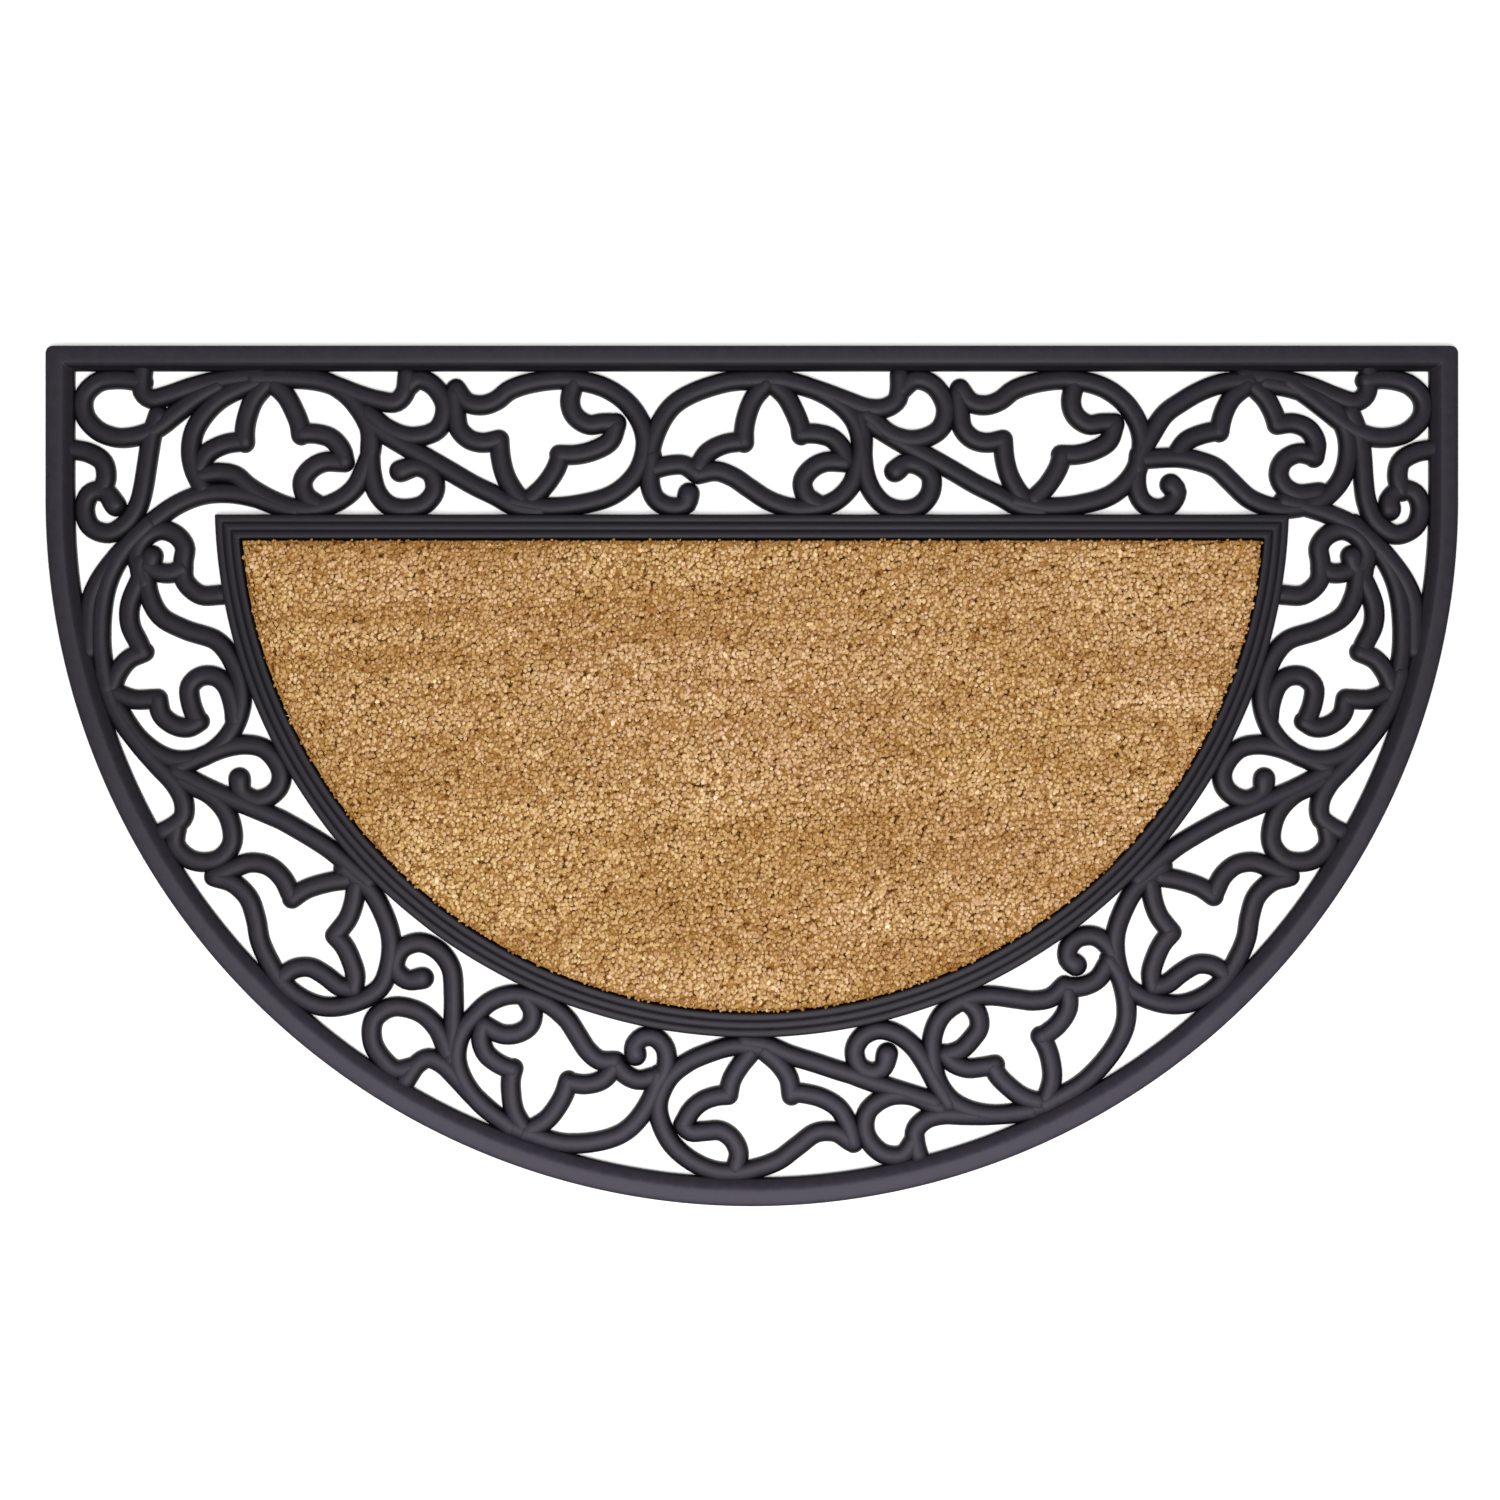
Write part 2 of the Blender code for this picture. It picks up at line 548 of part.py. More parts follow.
def trim_section():
    """The trim's section, from the scrollwork's height over three ribs and down to the tray."""
    section = [(TRIM_INSET + TRIM_FOOT, SCROLL_HEIGHT)]
    for rib in range(TRIM_RIBS):
        middle = TRIM_INSET + TRIM_FOOT + RIB_PITCH * (rib + 0.5)
        section.append((middle - RIB_TOP_WIDTH / 2, TRIM_HEIGHT))
        section.append((middle + RIB_TOP_WIDTH / 2, TRIM_HEIGHT))
        if rib < TRIM_RIBS - 1:
            section.append((middle + RIB_PITCH / 2, TRIM_HEIGHT - TRIM_GROOVE))
    return section + [(TRAY_INSET, TRIM_HEIGHT - TRIM_GROOVE), (TRAY_INSET, TRAY_HEIGHT)]


def make_rubber_frame(collection, material):
    """The one-piece moulding: rim, ledge, scrollwork with its gaps, ribbed trim and tray."""
    solid = Builder()
    gaps = scroll_gaps()
    tops = [draft_in(gap, STRAND_DRAFT) for gap in gaps]
    rim = [solid.loop(d_outline(inset), height) for inset, height in RIM_SECTION]
    trim = [solid.loop(d_outline(inset), height) for inset, height in trim_section()]
    gap_feet = [solid.loop(gap, 0.0) for gap in gaps]
    gap_tops = [solid.loop(top, SCROLL_HEIGHT) for top in tops]
    for loops in (rim, trim):
        for lower, upper in zip(loops, loops[1:]):
            solid.band(lower, upper)
    for foot, top in zip(gap_feet, gap_tops):
        solid.band(foot, top)
    solid.sheet([rim[0]] + gap_feet, [d_outline(0.0)] + gaps)
    inner = d_outline(TRIM_INSET + TRIM_FOOT)
    solid.sheet([rim[-1], trim[0]] + gap_tops, [d_outline(RIM_CREST_INSET), inner] + tops)
    solid.faces.append(tuple(trim[-1]))
    print("scroll gaps:", len(gaps), "outline points:", sum(len(gap) for gap in gaps))
    return solid.to_object("rubber_frame", collection, material)


def pile_unevenness(outline):
    """The low waves of the pile's surface."""
    return PILE_UNEVENNESS * np.sin(outline[:, 0] / PILE_WAVE_X) * np.cos(outline[:, 1] / PILE_WAVE_Y)


def make_coir_pad(collection, material):
    """The coir pad: a half-round slab in the tray, clear of the rubber by the seat gap."""
    solid = Builder()
    edge = TRAY_INSET + SEAT_GAP
    rings = [solid.loop(d_outline(edge), TRAY_HEIGHT + SEAT_GAP)]
    for inset, below in PAD_RINGS:
        outline = d_outline(edge + inset)
        rings.append(solid.loop(outline, PAD_HEIGHT - below + pile_unevenness(outline)))
    for lower, upper in zip(rings, rings[1:]):
        solid.band(lower, upper)
    solid.faces.append(tuple(rings[0]))
    solid.faces.append(tuple(rings[-1]))
    return solid.to_object("coir_pad", collection, material)


def plain_material(name, colour, roughness):
    """A Principled material of one colour."""
    material = bpy.data.materials.new(name)
    material.use_nodes = True
    shader = material.node_tree.nodes["Principled BSDF"]
    shader.inputs["Base Color"].default_value = (*colour, 1.0)
    shader.inputs["Roughness"].default_value = roughness
    shader.inputs["Metallic"].default_value = 0.0
    return material


def main():
    """Clear the scene and build the doormat."""
    for thing in list(bpy.data.objects):
        bpy.data.objects.remove(thing)
    doormat = bpy.data.collections.new("coir_doormat")
    bpy.context.scene.collection.children.link(doormat)
    make_rubber_frame(doormat, plain_material("moulded_rubber", (0.022, 0.020, 0.026), 0.55))
    make_coir_pad(doormat, plain_material("coir_pile", (0.50, 0.31, 0.13), 0.95))


main()
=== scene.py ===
# %% [markdown]
# # A half-round coir doormat in a moulded rubber frame
# The mat has two parts. A black rubber moulding makes the rim, the openwork scrolls, the ribbed trim and a
# thin tray, and a pad of coconut fibre pile lies in the tray. The solids from the CAD are loaded first and
# never change. Finer surfaces are then laid exactly where they are: round strands for the rubber, tufts and
# fibres for the coir. Everything is worked out from a few measures, so a reader can change one and see what
# it does.

import bpy
import numpy as np
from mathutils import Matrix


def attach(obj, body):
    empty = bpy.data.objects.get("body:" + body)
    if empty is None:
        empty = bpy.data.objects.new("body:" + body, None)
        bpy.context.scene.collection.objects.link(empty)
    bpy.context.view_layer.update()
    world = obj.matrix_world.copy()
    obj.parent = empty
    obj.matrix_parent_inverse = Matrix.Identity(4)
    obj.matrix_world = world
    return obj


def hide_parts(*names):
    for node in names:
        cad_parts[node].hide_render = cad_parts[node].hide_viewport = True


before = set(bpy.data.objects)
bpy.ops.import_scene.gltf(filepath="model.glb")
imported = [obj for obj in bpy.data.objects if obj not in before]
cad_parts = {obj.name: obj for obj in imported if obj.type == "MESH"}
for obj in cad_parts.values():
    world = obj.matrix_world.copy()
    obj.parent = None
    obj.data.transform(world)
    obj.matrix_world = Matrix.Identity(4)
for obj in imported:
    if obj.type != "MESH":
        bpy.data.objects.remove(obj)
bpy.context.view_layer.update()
print("solids:", sorted(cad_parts))

# %% [markdown]
# ## The measures of the mat
# The real mat is 914 mm wide and 557 mm deep: half of a disc, with short straight sides up to the straight
# edge. Every band of the moulding is named by its inset from the mat's edge. The numbers are in millimetres
# about the centre of the arc, because that is how such a mat is drawn, and they become metres when a mesh
# is made.

# %% Measures in millimetres
MM = 0.001
MAT_RADIUS = 457.0
SIDE_STRAIGHT = 100.0
ARC_CENTRE_Y = MAT_RADIUS - (MAT_RADIUS + SIDE_STRAIGHT) / 2
CORNER_ROUNDING = 5.0
LEAST_ROUNDING = 0.8
LEDGE_INSET = 18.0
SCROLL_WIDTH = 91.0
TRIM_INSET = LEDGE_INSET + SCROLL_WIDTH
TRIM_WIDTH = 17.0
TRAY_INSET = TRIM_INSET + TRIM_WIDTH
TRAY_HEIGHT = 2.0
SCROLL_HEIGHT = 7.0
TRIM_HEIGHT = 9.5
PAD_HEIGHT = 13.0
SEAT_GAP = 0.4
print("mat:", 2 * MAT_RADIUS, "by", MAT_RADIUS + SIDE_STRAIGHT, "mm")

# %% [markdown]
# ## Meshes from whole arrays
# A mesh is a list of points and a list of faces that name them. Blender can take each list in one call from
# a numpy array, which is far quicker than adding points one by one. Quads and triangles may be mixed, so
# the faces come as a list of arrays, one for each number of corners. The signed volume tells whether the
# faces of a closed piece look outwards: it is positive if they do.

# %% Helpers that make a piece
CM3_IN_M3 = 1e6


def add_object(name, data):
    """Put a mesh, a lamp or a camera into the scene as an object."""
    thing = bpy.data.objects.new(name, data)
    bpy.context.scene.collection.objects.link(thing)
    return thing


def signed_volume(places, face_lists):
    """The sum over triangles of the volume between each one and the origin."""
    total = 0.0
    for faces in face_lists:
        first = places[faces[:, 0]]
        for corner in range(1, faces.shape[1] - 1):
            second, third = places[faces[:, corner]], places[faces[:, corner + 1]]
            total += float(np.einsum("ij,ij->", first, np.cross(second, third))) / 6
    return total


def make_piece(name, points, face_lists, material):
    """Make a smooth-shaded mesh piece from points in millimetres about the arc's centre."""
    places = (np.asarray(points, float) + (0.0, ARC_CENTRE_Y, 0.0)) * MM
    corners = np.concatenate([faces.ravel() for faces in face_lists]).astype(np.int32)
    sizes = np.concatenate([np.full(len(faces), faces.shape[1]) for faces in face_lists])
    starts = np.concatenate([[0], np.cumsum(sizes)[:-1]]).astype(np.int32)
    mesh = bpy.data.meshes.new(name)
    mesh.vertices.add(len(places))
    mesh.vertices.foreach_set("co", places.astype(np.float32).ravel())
    mesh.loops.add(len(corners))
    mesh.loops.foreach_set("vertex_index", corners)
    mesh.polygons.add(len(sizes))
    mesh.polygons.foreach_set("loop_start", starts)
    mesh.polygons.foreach_set("use_smooth", np.ones(len(sizes), bool))
    mesh.update(calc_edges=True)
    mesh.validate()
    mesh.materials.append(material)
    volume = signed_volume(places, face_lists) * CM3_IN_M3
    assert volume > 0.0, name + " is inside out"
    print(name, "has", int(np.sum(sizes - 2)), "triangles and", round(volume, 1), "cm3")
    return add_object(name, mesh)


CUBE_CORNER = np.array(((0, 0, 0), (1, 0, 0), (0, 1, 0), (0, 0, 1)), float)
CORNER_FACES = np.array(((0, 2, 1), (0, 1, 3), (1, 2, 3), (0, 3, 2)))
print("a corner cut off a cube is", round(signed_volume(CUBE_CORNER, [CORNER_FACES]), 4), "of it")

# %% [markdown]
# ## Faces between rings
# The pieces of the moulding are rings of points, one after another like the hoops of a barrel. Four
# neighbouring points make a quad, and the last point of a ring joins on to its first. An end is closed by a
# fan, which is a triangle from each side of the last ring to one point in the middle. Blender could fill
# such an end with one many-sided face, but a fan shades better.

# %% Helpers that number the faces
def ring_faces(rings, around):
    """Quads between neighbouring rings of points, each ring closed on itself."""
    ring, step = np.meshgrid(np.arange(rings - 1), np.arange(around), indexing="ij")
    here, after = ring * around + step, ring * around + (step + 1) % around
    return np.stack([here, after, after + around, here + around], axis=-1).reshape(-1, 4)


def fan_faces(ring, middle, underneath=False):
    """Triangles from the sides of a closed ring to a middle point, facing up, or down when underneath."""
    after = np.roll(ring, -1)
    sides = (after, ring) if underneath else (ring, after)
    return np.column_stack([*sides, np.full(len(ring), middle)])


def closed_shell(count, around):
    """Quads between the rings of count points, and two fans to the two middle points that come after them."""
    numbers = np.arange(count)
    fans = [fan_faces(numbers[:around], count, underneath=True), fan_faces(numbers[-around:], count + 1)]
    return [ring_faces(count // around, around), np.vstack(fans)]


print("faces of a shell of two rings of six:", [len(faces) for faces in closed_shell(12, 6)])

# %% [markdown]
# ## Steps that the finishes share
# A finish is a tree of small nodes. Noise is laid on the object's own coordinates, so it moves with the
# mat, ranges stretch a value, and ramps and mixes turn values into colours. Each step that is needed more
# than once is a function that adds its node and gives the socket with the result. The nodes could be set by
# hand in the editor, but a script shows every number.

# %% Helpers for materials
def node_at(tree, kind, **settings):
    """Add a shader node and set its properties and unlinked inputs by name."""
    node = tree.nodes.new(kind)
    for key, value in settings.items():
        if key in node.inputs:
            node.inputs[key].default_value = value
        else:
            setattr(node, key, value)
    return node


def plain_material(name, specular, roughness=0.5):
    """A material that is not metallic: itself, its node tree, its shader and its coordinates."""
    material = bpy.data.materials.new(name)
    material.use_nodes = True
    tree = material.node_tree
    shader = tree.nodes["Principled BSDF"]
    shader.inputs["Metallic"].default_value = 0.0
    shader.inputs["Roughness"].default_value = roughness
    shader.inputs["Specular IOR Level"].default_value = specular
    place = tree.nodes.new("ShaderNodeTexCoord")
    return material, tree, shader, place.outputs


def noise(tree, place, scale, detail, roughness=0.5):
    """Noise on the object's own coordinates."""
    node = node_at(tree, "ShaderNodeTexNoise", Scale=scale, Detail=detail, Roughness=roughness)
    tree.links.new(place["Object"], node.inputs["Vector"])
    return node.outputs["Fac"]


def split(tree, vector):
    """The X, Y and Z of a vector."""
    node = tree.nodes.new("ShaderNodeSeparateXYZ")
    tree.links.new(vector, node.inputs["Vector"])
    return node.outputs


def colour_ramp(tree, value, stops):
    """Colour a value by stops of (position, (red, green, blue)) in linear colour."""
    node = tree.nodes.new("ShaderNodeValToRGB")
    elements = node.color_ramp.elements
    while len(elements) < len(stops):
        elements.new(0.5)
    for element, (position, colour) in zip(elements, stops):
        element.position = position
        element.color = (*colour, 1.0)
    tree.links.new(value, node.inputs["Fac"])
    return node.outputs["Color"]


def mixed(tree, share, first, second, way="MIX"):
    """Mix two colours, each a socket or three numbers, by a share from 0 to 1."""
    node = node_at(tree, "ShaderNodeMix", data_type="RGBA", blend_type=way)
    if isinstance(share, float):
        node.inputs[0].default_value = share
    else:
        tree.links.new(share, node.inputs[0])
    for socket, colour in ((node.inputs[6], first), (node.inputs[7], second)):
        if isinstance(colour, tuple):
            socket.default_value = (*colour, 1.0)
        else:
            tree.links.new(colour, socket)
    return node.outputs[2]


def stretched(tree, value, range_from, range_to=(0.0, 1.0), kind="LINEAR"):
    """Map a value from one range to another, and hold it inside that one."""
    node = node_at(tree, "ShaderNodeMapRange", interpolation_type=kind)
    for socket, number in zip(("From Min", "From Max", "To Min", "To Max"), (*range_from, *range_to)):
        node.inputs[socket].default_value = number
    tree.links.new(value, node.inputs["Value"])
    return node.outputs["Result"]


def combined(tree, operation, first, second):
    """One Math node on two sockets."""
    node = node_at(tree, "ShaderNodeMath", operation=operation)
    tree.links.new(first, node.inputs[0])
    tree.links.new(second, node.inputs[1])
    return node.outputs["Value"]


def raise_grain(tree, shader, height, strength, distance):
    """Let a value raise the surface a little under the light."""
    node = node_at(tree, "ShaderNodeBump", Strength=strength, Distance=distance)
    tree.links.new(height, node.inputs["Height"])
    tree.links.new(node.outputs["Normal"], shader.inputs["Normal"])


STEPS = (noise, split, colour_ramp, mixed, stretched, combined, raise_grain)
print("steps of a finish:", [step.__name__ for step in STEPS])

# %% [markdown]
# ## Moulded black rubber
# The rubber is charcoal black with a faint violet cast and a satin skin. Its crests are painted greyer than
# its flanks and valleys, partly as a little dust and wear and partly as painted sheen where the lamp catches
# the tops, with the low parts left dark as painted shade. Two measures tell crest from flank on any surface,
# so one
# material serves every rubber piece: the normal's upward part, which is one on a flat top, and the height
# above the floor. The crests are also painted greyer towards the round front, and that is painted sheen. A
# fine noise gives the grain of the mould, and a broad one keeps the black from looking like paint. The ribs
# look darker, so they have a finish of their own with less dust and less painted sheen. An image texture
# would show its joins and repeats, and noise has none.

# %% The rubber material
BLACKS = (
    (0.32, (0.0026, 0.0026, 0.0038)),
    (0.50, (0.0036, 0.0030, 0.0046)),
    (0.68, (0.0050, 0.0036, 0.0056)),
)
# The grey of dust and painted sheen on the crests, and the ranges that place it: upward faces and high parts.
DUST_AND_SHEEN_COLOUR = (0.0350, 0.0295, 0.0430)
SHEEN_UPWARD_RANGE = (0.56, 0.98)
SHEEN_HEIGHT_RANGE = (0.0042, 0.0084)
# More of the grey towards the round front: this part is painted sheen.
BACK_TO_FRONT = (0.08, -0.28)
SHEEN_TO_FRONT = (0.42, 1.16)
MOTTLE = (0.30, 0.72)
MOTTLE_DUST = (0.62, 1.0)
SATIN = (0.34, 0.52)
RIB_DUST_AND_SHEEN = 0.43


def rubber_material(name, dust_and_sheen_amount):
    """Dust and painted sheen = upward * high * mottle * front, mixed into a black; satin; grain."""
    material, tree, shader, place = plain_material(name, specular=0.12)
    black = colour_ramp(tree, noise(tree, place, scale=9.0, detail=4.0, roughness=0.6), BLACKS)
    mottle = noise(tree, place, scale=160.0, detail=5.0, roughness=0.62)
    above = split(tree, place["Object"])
    # The share that rises towards the front is painted sheen.
    front_sheen = [share * dust_and_sheen_amount for share in SHEEN_TO_FRONT]
    # Greyer on upward faces and high parts, as dust and painted sheen; low parts stay dark as painted shade.
    dust_and_sheen = stretched(tree, split(tree, place["Normal"])["Z"], SHEEN_UPWARD_RANGE, kind="SMOOTHSTEP")
    for share in (
        stretched(tree, above["Z"], SHEEN_HEIGHT_RANGE, kind="SMOOTHSTEP"),
        stretched(tree, mottle, MOTTLE, MOTTLE_DUST),
        stretched(tree, above["Y"], BACK_TO_FRONT, front_sheen, kind="SMOOTHSTEP"),
    ):
        dust_and_sheen = combined(tree, "MULTIPLY", dust_and_sheen, share)
    tree.links.new(mixed(tree, dust_and_sheen, black, DUST_AND_SHEEN_COLOUR), shader.inputs["Base Color"])
    tree.links.new(stretched(tree, mottle, (0.0, 1.0), SATIN), shader.inputs["Roughness"])
    grain = noise(tree, place, scale=1400.0, detail=3.0, roughness=0.6)
    raise_grain(tree, shader, grain, strength=0.22, distance=0.0002)
    return material


RUBBER = rubber_material("moulded_rubber", 1.0)
# The ribs get less of the dust and painted sheen.
RIBBED_RUBBER = rubber_material("ribbed_rubber", RIB_DUST_AND_SHEEN)
print("rubber finishes:", RUBBER.name, RIBBED_RUBBER.name)

# %% [markdown]
# ## The outline and its insets
# Rim, ledge and trim all follow the mat's edge, so one function gives the outline at any inset. It is an
# arc, a straight edge, and two rounded corners. Blender could offset a curve, but here every outline has
# the same number of points, so point 10 of one faces point 10 of the next, and the corners of the ribs
# mitre by themselves.

# %% The outline at an inset
ARC_STEPS = 300
EDGE_STEPS = 60
CORNER_STEPS = 10
ARC_BELOW_CORNER = 0.5


def d_outline(inset, edge_inset=None):
    """The arc is x = r cos a, y = r sin a with r less by the inset; the edge is y = SIDE_STRAIGHT - inset."""
    radius = MAT_RADIUS - inset
    edge_y = SIDE_STRAIGHT - (inset if edge_inset is None else edge_inset)
    rounding = max(CORNER_ROUNDING - inset, LEAST_ROUNDING)
    corner_x = np.sqrt(radius ** 2 - min(edge_y, 0.0) ** 2)
    quarter = np.linspace(0, np.pi / 2, CORNER_STEPS + 1)
    corner_right = np.column_stack([
        corner_x - rounding + rounding * np.cos(quarter),
        edge_y - rounding + rounding * np.sin(quarter),
    ])
    along = np.linspace(1, -1, EDGE_STEPS + 1)[1:-1]
    edge = np.column_stack([along * (corner_x - rounding), np.full(len(along), edge_y)])
    arc_end_y = min(0.0, edge_y - rounding - ARC_BELOW_CORNER)
    dip = np.arcsin(-arc_end_y / radius)
    angles = np.linspace(np.pi + dip, 2 * np.pi - dip, ARC_STEPS + 1)
    arc = radius * np.column_stack([np.cos(angles), np.sin(angles)])
    return np.vstack([corner_right, edge, corner_right[::-1] * (-1, 1), arc])


def swept_band(section):
    """Carry a section round the outline: each row (inset, height, any inset of the edge) becomes a ring."""
    rings = []
    for inset, height, *edge_inset in section:
        outline = d_outline(inset, *edge_inset)
        rings.append(np.column_stack([outline, np.full(len(outline), height)]))
    return np.vstack(rings)


AROUND = len(d_outline(0.0))
print("points round the mat:", AROUND)

# %% [markdown]
# ## The rim and its ledge
# The rim is a broad bar with a nearly flat, softly crowned top. On its inner side it slopes down to a low
# ledge, on which the strands end. The ledge is a little narrower along the straight edge. Moulded rubber
# has no sharp edges, so every corner of the section is cut off at its quarter points, and smooth shading
# does the rest. A bevelled curve could follow the outline too, but it has one section all round. The
# section is a closed loop, so the band is a closed ring with nothing left open underneath.

# %% The rim
RIM_SECTION = (
    (0.9, 0.0), (0.0, 0.9), (0.0, 4.5), (0.0, 8.2), (0.7, 9.5), (2.2, 10.0), (6.6, 10.1), (10.6, 9.9),
    (11.9, 9.3), (13.2, 8.4), (14.5, 7.4), (15.8, 6.4), (16.8, 5.8), (17.6, 5.2), (18.0, 4.2), (18.0, 2.4),
    (18.0, 0.5), (17.6, 0.0), (9.0, 0.0),
)
CREST_WIDTH = 13.0
EDGE_LEDGE_SHARE = 0.64


def rounded(section):
    """Put two points in place of each corner, a quarter of the way along its two sides."""
    points = np.asarray(section, float)
    following = np.roll(points, -1, axis=0)
    near = 0.75 * points + 0.25 * following
    far = 0.25 * points + 0.75 * following
    return np.stack([near, far], axis=1).reshape(-1, 2)


def make_rim():
    """Rings of the section, the last joined to the first; edge inset = inset - (1 - share) * past crest."""
    section = rounded(RIM_SECTION)
    past_crest = np.maximum(section[:, 0] - CREST_WIDTH, 0.0)
    section = np.column_stack([section, section[:, 0] - (1.0 - EDGE_LEDGE_SHARE) * past_crest])
    points = swept_band(section)
    faces = ring_faces(len(section) + 1, AROUND) % len(points)
    return make_piece("rubber_rim", points, [faces], RUBBER)


rim = make_rim()

# %% [markdown]
# ## The ribbed trim and the tray
# Inside the scrolls three half-round ribs run side by side round the coir, and their corners are mitred.
# They drop to a thin tray, which is part of the same moulding and carries the pad. Ribs and tray could be
# separate pieces, but one section serves both, as it does in the mould. It starts in the middle of the
# underside, goes out and over the ribs, and comes back down to the tray.

# %% The trim and tray
RIBS = 3
RIB_STEPS = 9
RIB_PITCH = 5.2
RIB_SHARE = 0.96
RIB_MARGIN = 0.02
RIB_VALLEY = 0.95
RIB_FULLNESS = 0.7
FIRST_RIB = TRIM_INSET + 0.5
TRAY_STEPS = (30.0, 80.0, 130.0)
TRIM_FOOT = ((0.5, 0.0), (0.0, 0.5), (0.0, 3.0), (0.1, 6.2))
TRIM_INNER = ((-0.6, 6.4), (-0.1, 5.6), (0.0, 4.0), (0.0, TRAY_HEIGHT))


def rib_section():
    """Ribs as half waves: height = top - valley + valley * sin(turn) ** fullness across each pitch."""
    turn = np.linspace(0.0, np.pi, RIB_STEPS)
    rows = []
    for rib in range(RIBS):
        start = FIRST_RIB + rib * RIB_PITCH
        across = start + RIB_PITCH * (0.5 - 0.5 * np.cos(turn)) * RIB_SHARE + RIB_PITCH * RIB_MARGIN
        height = TRIM_HEIGHT - RIB_VALLEY + RIB_VALLEY * np.sin(turn) ** RIB_FULLNESS
        rows.append(np.column_stack([across, height]))
    return np.vstack(rows)


def make_trim():
    """One closed shell of rings: from the middle of the underside, out, over the ribs, and in again."""
    under = [(TRAY_INSET + step, 0.0) for step in (*TRAY_STEPS[::-1], 0.0)]
    foot = [(TRIM_INSET + step, height) for step, height in TRIM_FOOT]
    inner = [(TRAY_INSET + step, height) for step, height in TRIM_INNER]
    floor = [(TRAY_INSET + step, TRAY_HEIGHT) for step in TRAY_STEPS]
    rings = swept_band(np.vstack([under, foot, rib_section(), inner, floor]))
    middle_y = rings[:AROUND, 1].mean()
    points = np.vstack([rings, (0.0, middle_y, 0.0), (0.0, middle_y, TRAY_HEIGHT)])
    return make_piece("rubber_trim_and_tray", points, closed_shell(len(rings), AROUND), RIBBED_RUBBER)


trim = make_trim()

# %% [markdown]
# ## The chart of the scrollwork
# The border is wrought-iron scrollwork of the common kind: open tulip flowers that point by turns to the
# rim and to the trim, with curls and leaves between them. It was charted on a squared grid over the mat,
# strand by strand. Blender's curves could draw each strand, but a chart shows what repeats and is easy
# to change. U runs along the band and V across it, from the trim to the rim, and a row of the chart is a
# strand's name, whether it ends in a ball, and the points that its middle passes. A flower that points
# outwards has its tip at U 0.

# %% The chart of the outward flowers
CHART_HEIGHT = 93.5
CHART_STATIONS = (-100, 0, 118, 170, 250, 327)
ARCH_FOOT = (
    ("arch left", False, ((-75, 30), (-75, 46), (-61, 73), (-28, 88), (2, 90))),
    ("small curl", True, ((-75, 40), (-76, 20), (-72, 10), (-62, 5), (-53, 7), (-51, 14))),
    ("stem", False, ((-75, 30), (-63, 33), (-54, 33), (-45, 27))),
)
FRONT_ARCH_FOOT = (
    ("arch left", False, ((-79, 30), (-77, 46), (-62, 72), (-28, 88), (2, 90))),
    ("small curl", True, ((-78, 40), (-84, 24), (-81, 12), (-71, 6), (-61, 8), (-57, 14), (-59, 20))),
    ("stem", False, ((-76, 32), (-65, 36), (-54, 34), (-45, 28))),
)
FLOWER_TIP = (
    ("top petal left", False, ((0, 88), (-9, 77), (-13, 67), (-15, 57), (-15, 48))),
    ("top petal right", False, ((4, 87), (12, 79), (17, 70), (21, 60), (22, 53))),
    ("left petal", False, ((-15, 49), (-28, 47), (-39, 41), (-45, 31))),
)
LOOP = (
    ("loop", False, ((10, 90), (34, 82), (48, 73), (57, 62), (61, 47), (59, 33), (54, 19), (42, 8), (20, 4),
                     (2, 9), (-12, 18), (-22, 25), (-33, 29), (-45, 27))),
)
CORNER_LOOP = (
    ("loop", False, ((10, 91), (34, 90), (50, 82), (61, 70), (68, 56), (69, 45), (65, 32), (57, 17), (42, 7),
                     (20, 4), (2, 10), (-13, 19), (-21, 26), (-31, 28), (-45, 26))),
)
RIGHT_PETAL = (
    ("right petal top", False, ((22, 54), (32, 54), (42, 51), (49, 43), (51, 35))),
    ("right petal foot", False, ((51, 35), (37, 35), (28, 30), (23, 22), (25, 13), (34, 6))),
)
LOW_RIGHT_PETAL = (
    ("right petal top", False, ((20, 52), (29, 50), (39, 47), (47, 40), (50, 33))),
    ("right petal foot", False, ((50, 34), (38, 34), (28, 30), (20, 25), (17, 17), (19, 9), (24, 4))),
)
print("strands of a flower:", len(ARCH_FOOT + FLOWER_TIP + LOOP + RIGHT_PETAL))

# %% [markdown]
# ## Curls and leaves
# Between an outward flower and an inward one lie an S curl, the end of the arch, which hooks up to the rim,
# a leaf that is a loop of strand, and a diagonal that ties them together. The repeats differ a little, as a
# carved pattern does, so each of these comes in two or more shapes.

# %% The chart of the curls and leaves
S_CURL = (
    ("S curl", True, ((60, 66), (62, 52), (62, 38), (64, 25), (69, 14), (77, 6), (88, 3), (99, 6), (106, 15),
                      (106, 26), (98, 33), (90, 34), (83, 29))),
)
CORNER_S_CURL = (
    ("S curl", True, ((64, 68), (68, 55), (68, 40), (69, 27), (73, 14), (81, 6), (92, 4), (104, 7), (111, 16),
                      (109, 27), (100, 32), (88, 29))),
)
SIDE_S_CURL = (
    ("S curl", True, ((57, 66), (57, 45), (58, 30), (62, 17), (69, 8), (80, 4), (91, 5), (98, 11), (100, 20),
                      (97, 29), (88, 34), (80, 31))),
)
DEEP_S_CURL = (
    ("S curl", True, ((58, 66), (62, 50), (65, 36), (70, 22), (79, 11), (92, 5), (105, 7), (113, 15),
                      (112, 26), (103, 32), (95, 30), (90, 22))),
)
WIDE_S_CURL = (
    ("S curl", True, ((58, 66), (68, 45), (78, 27), (89, 13), (103, 8), (117, 11), (124, 22), (120, 34),
                      (109, 36), (101, 29))),
)
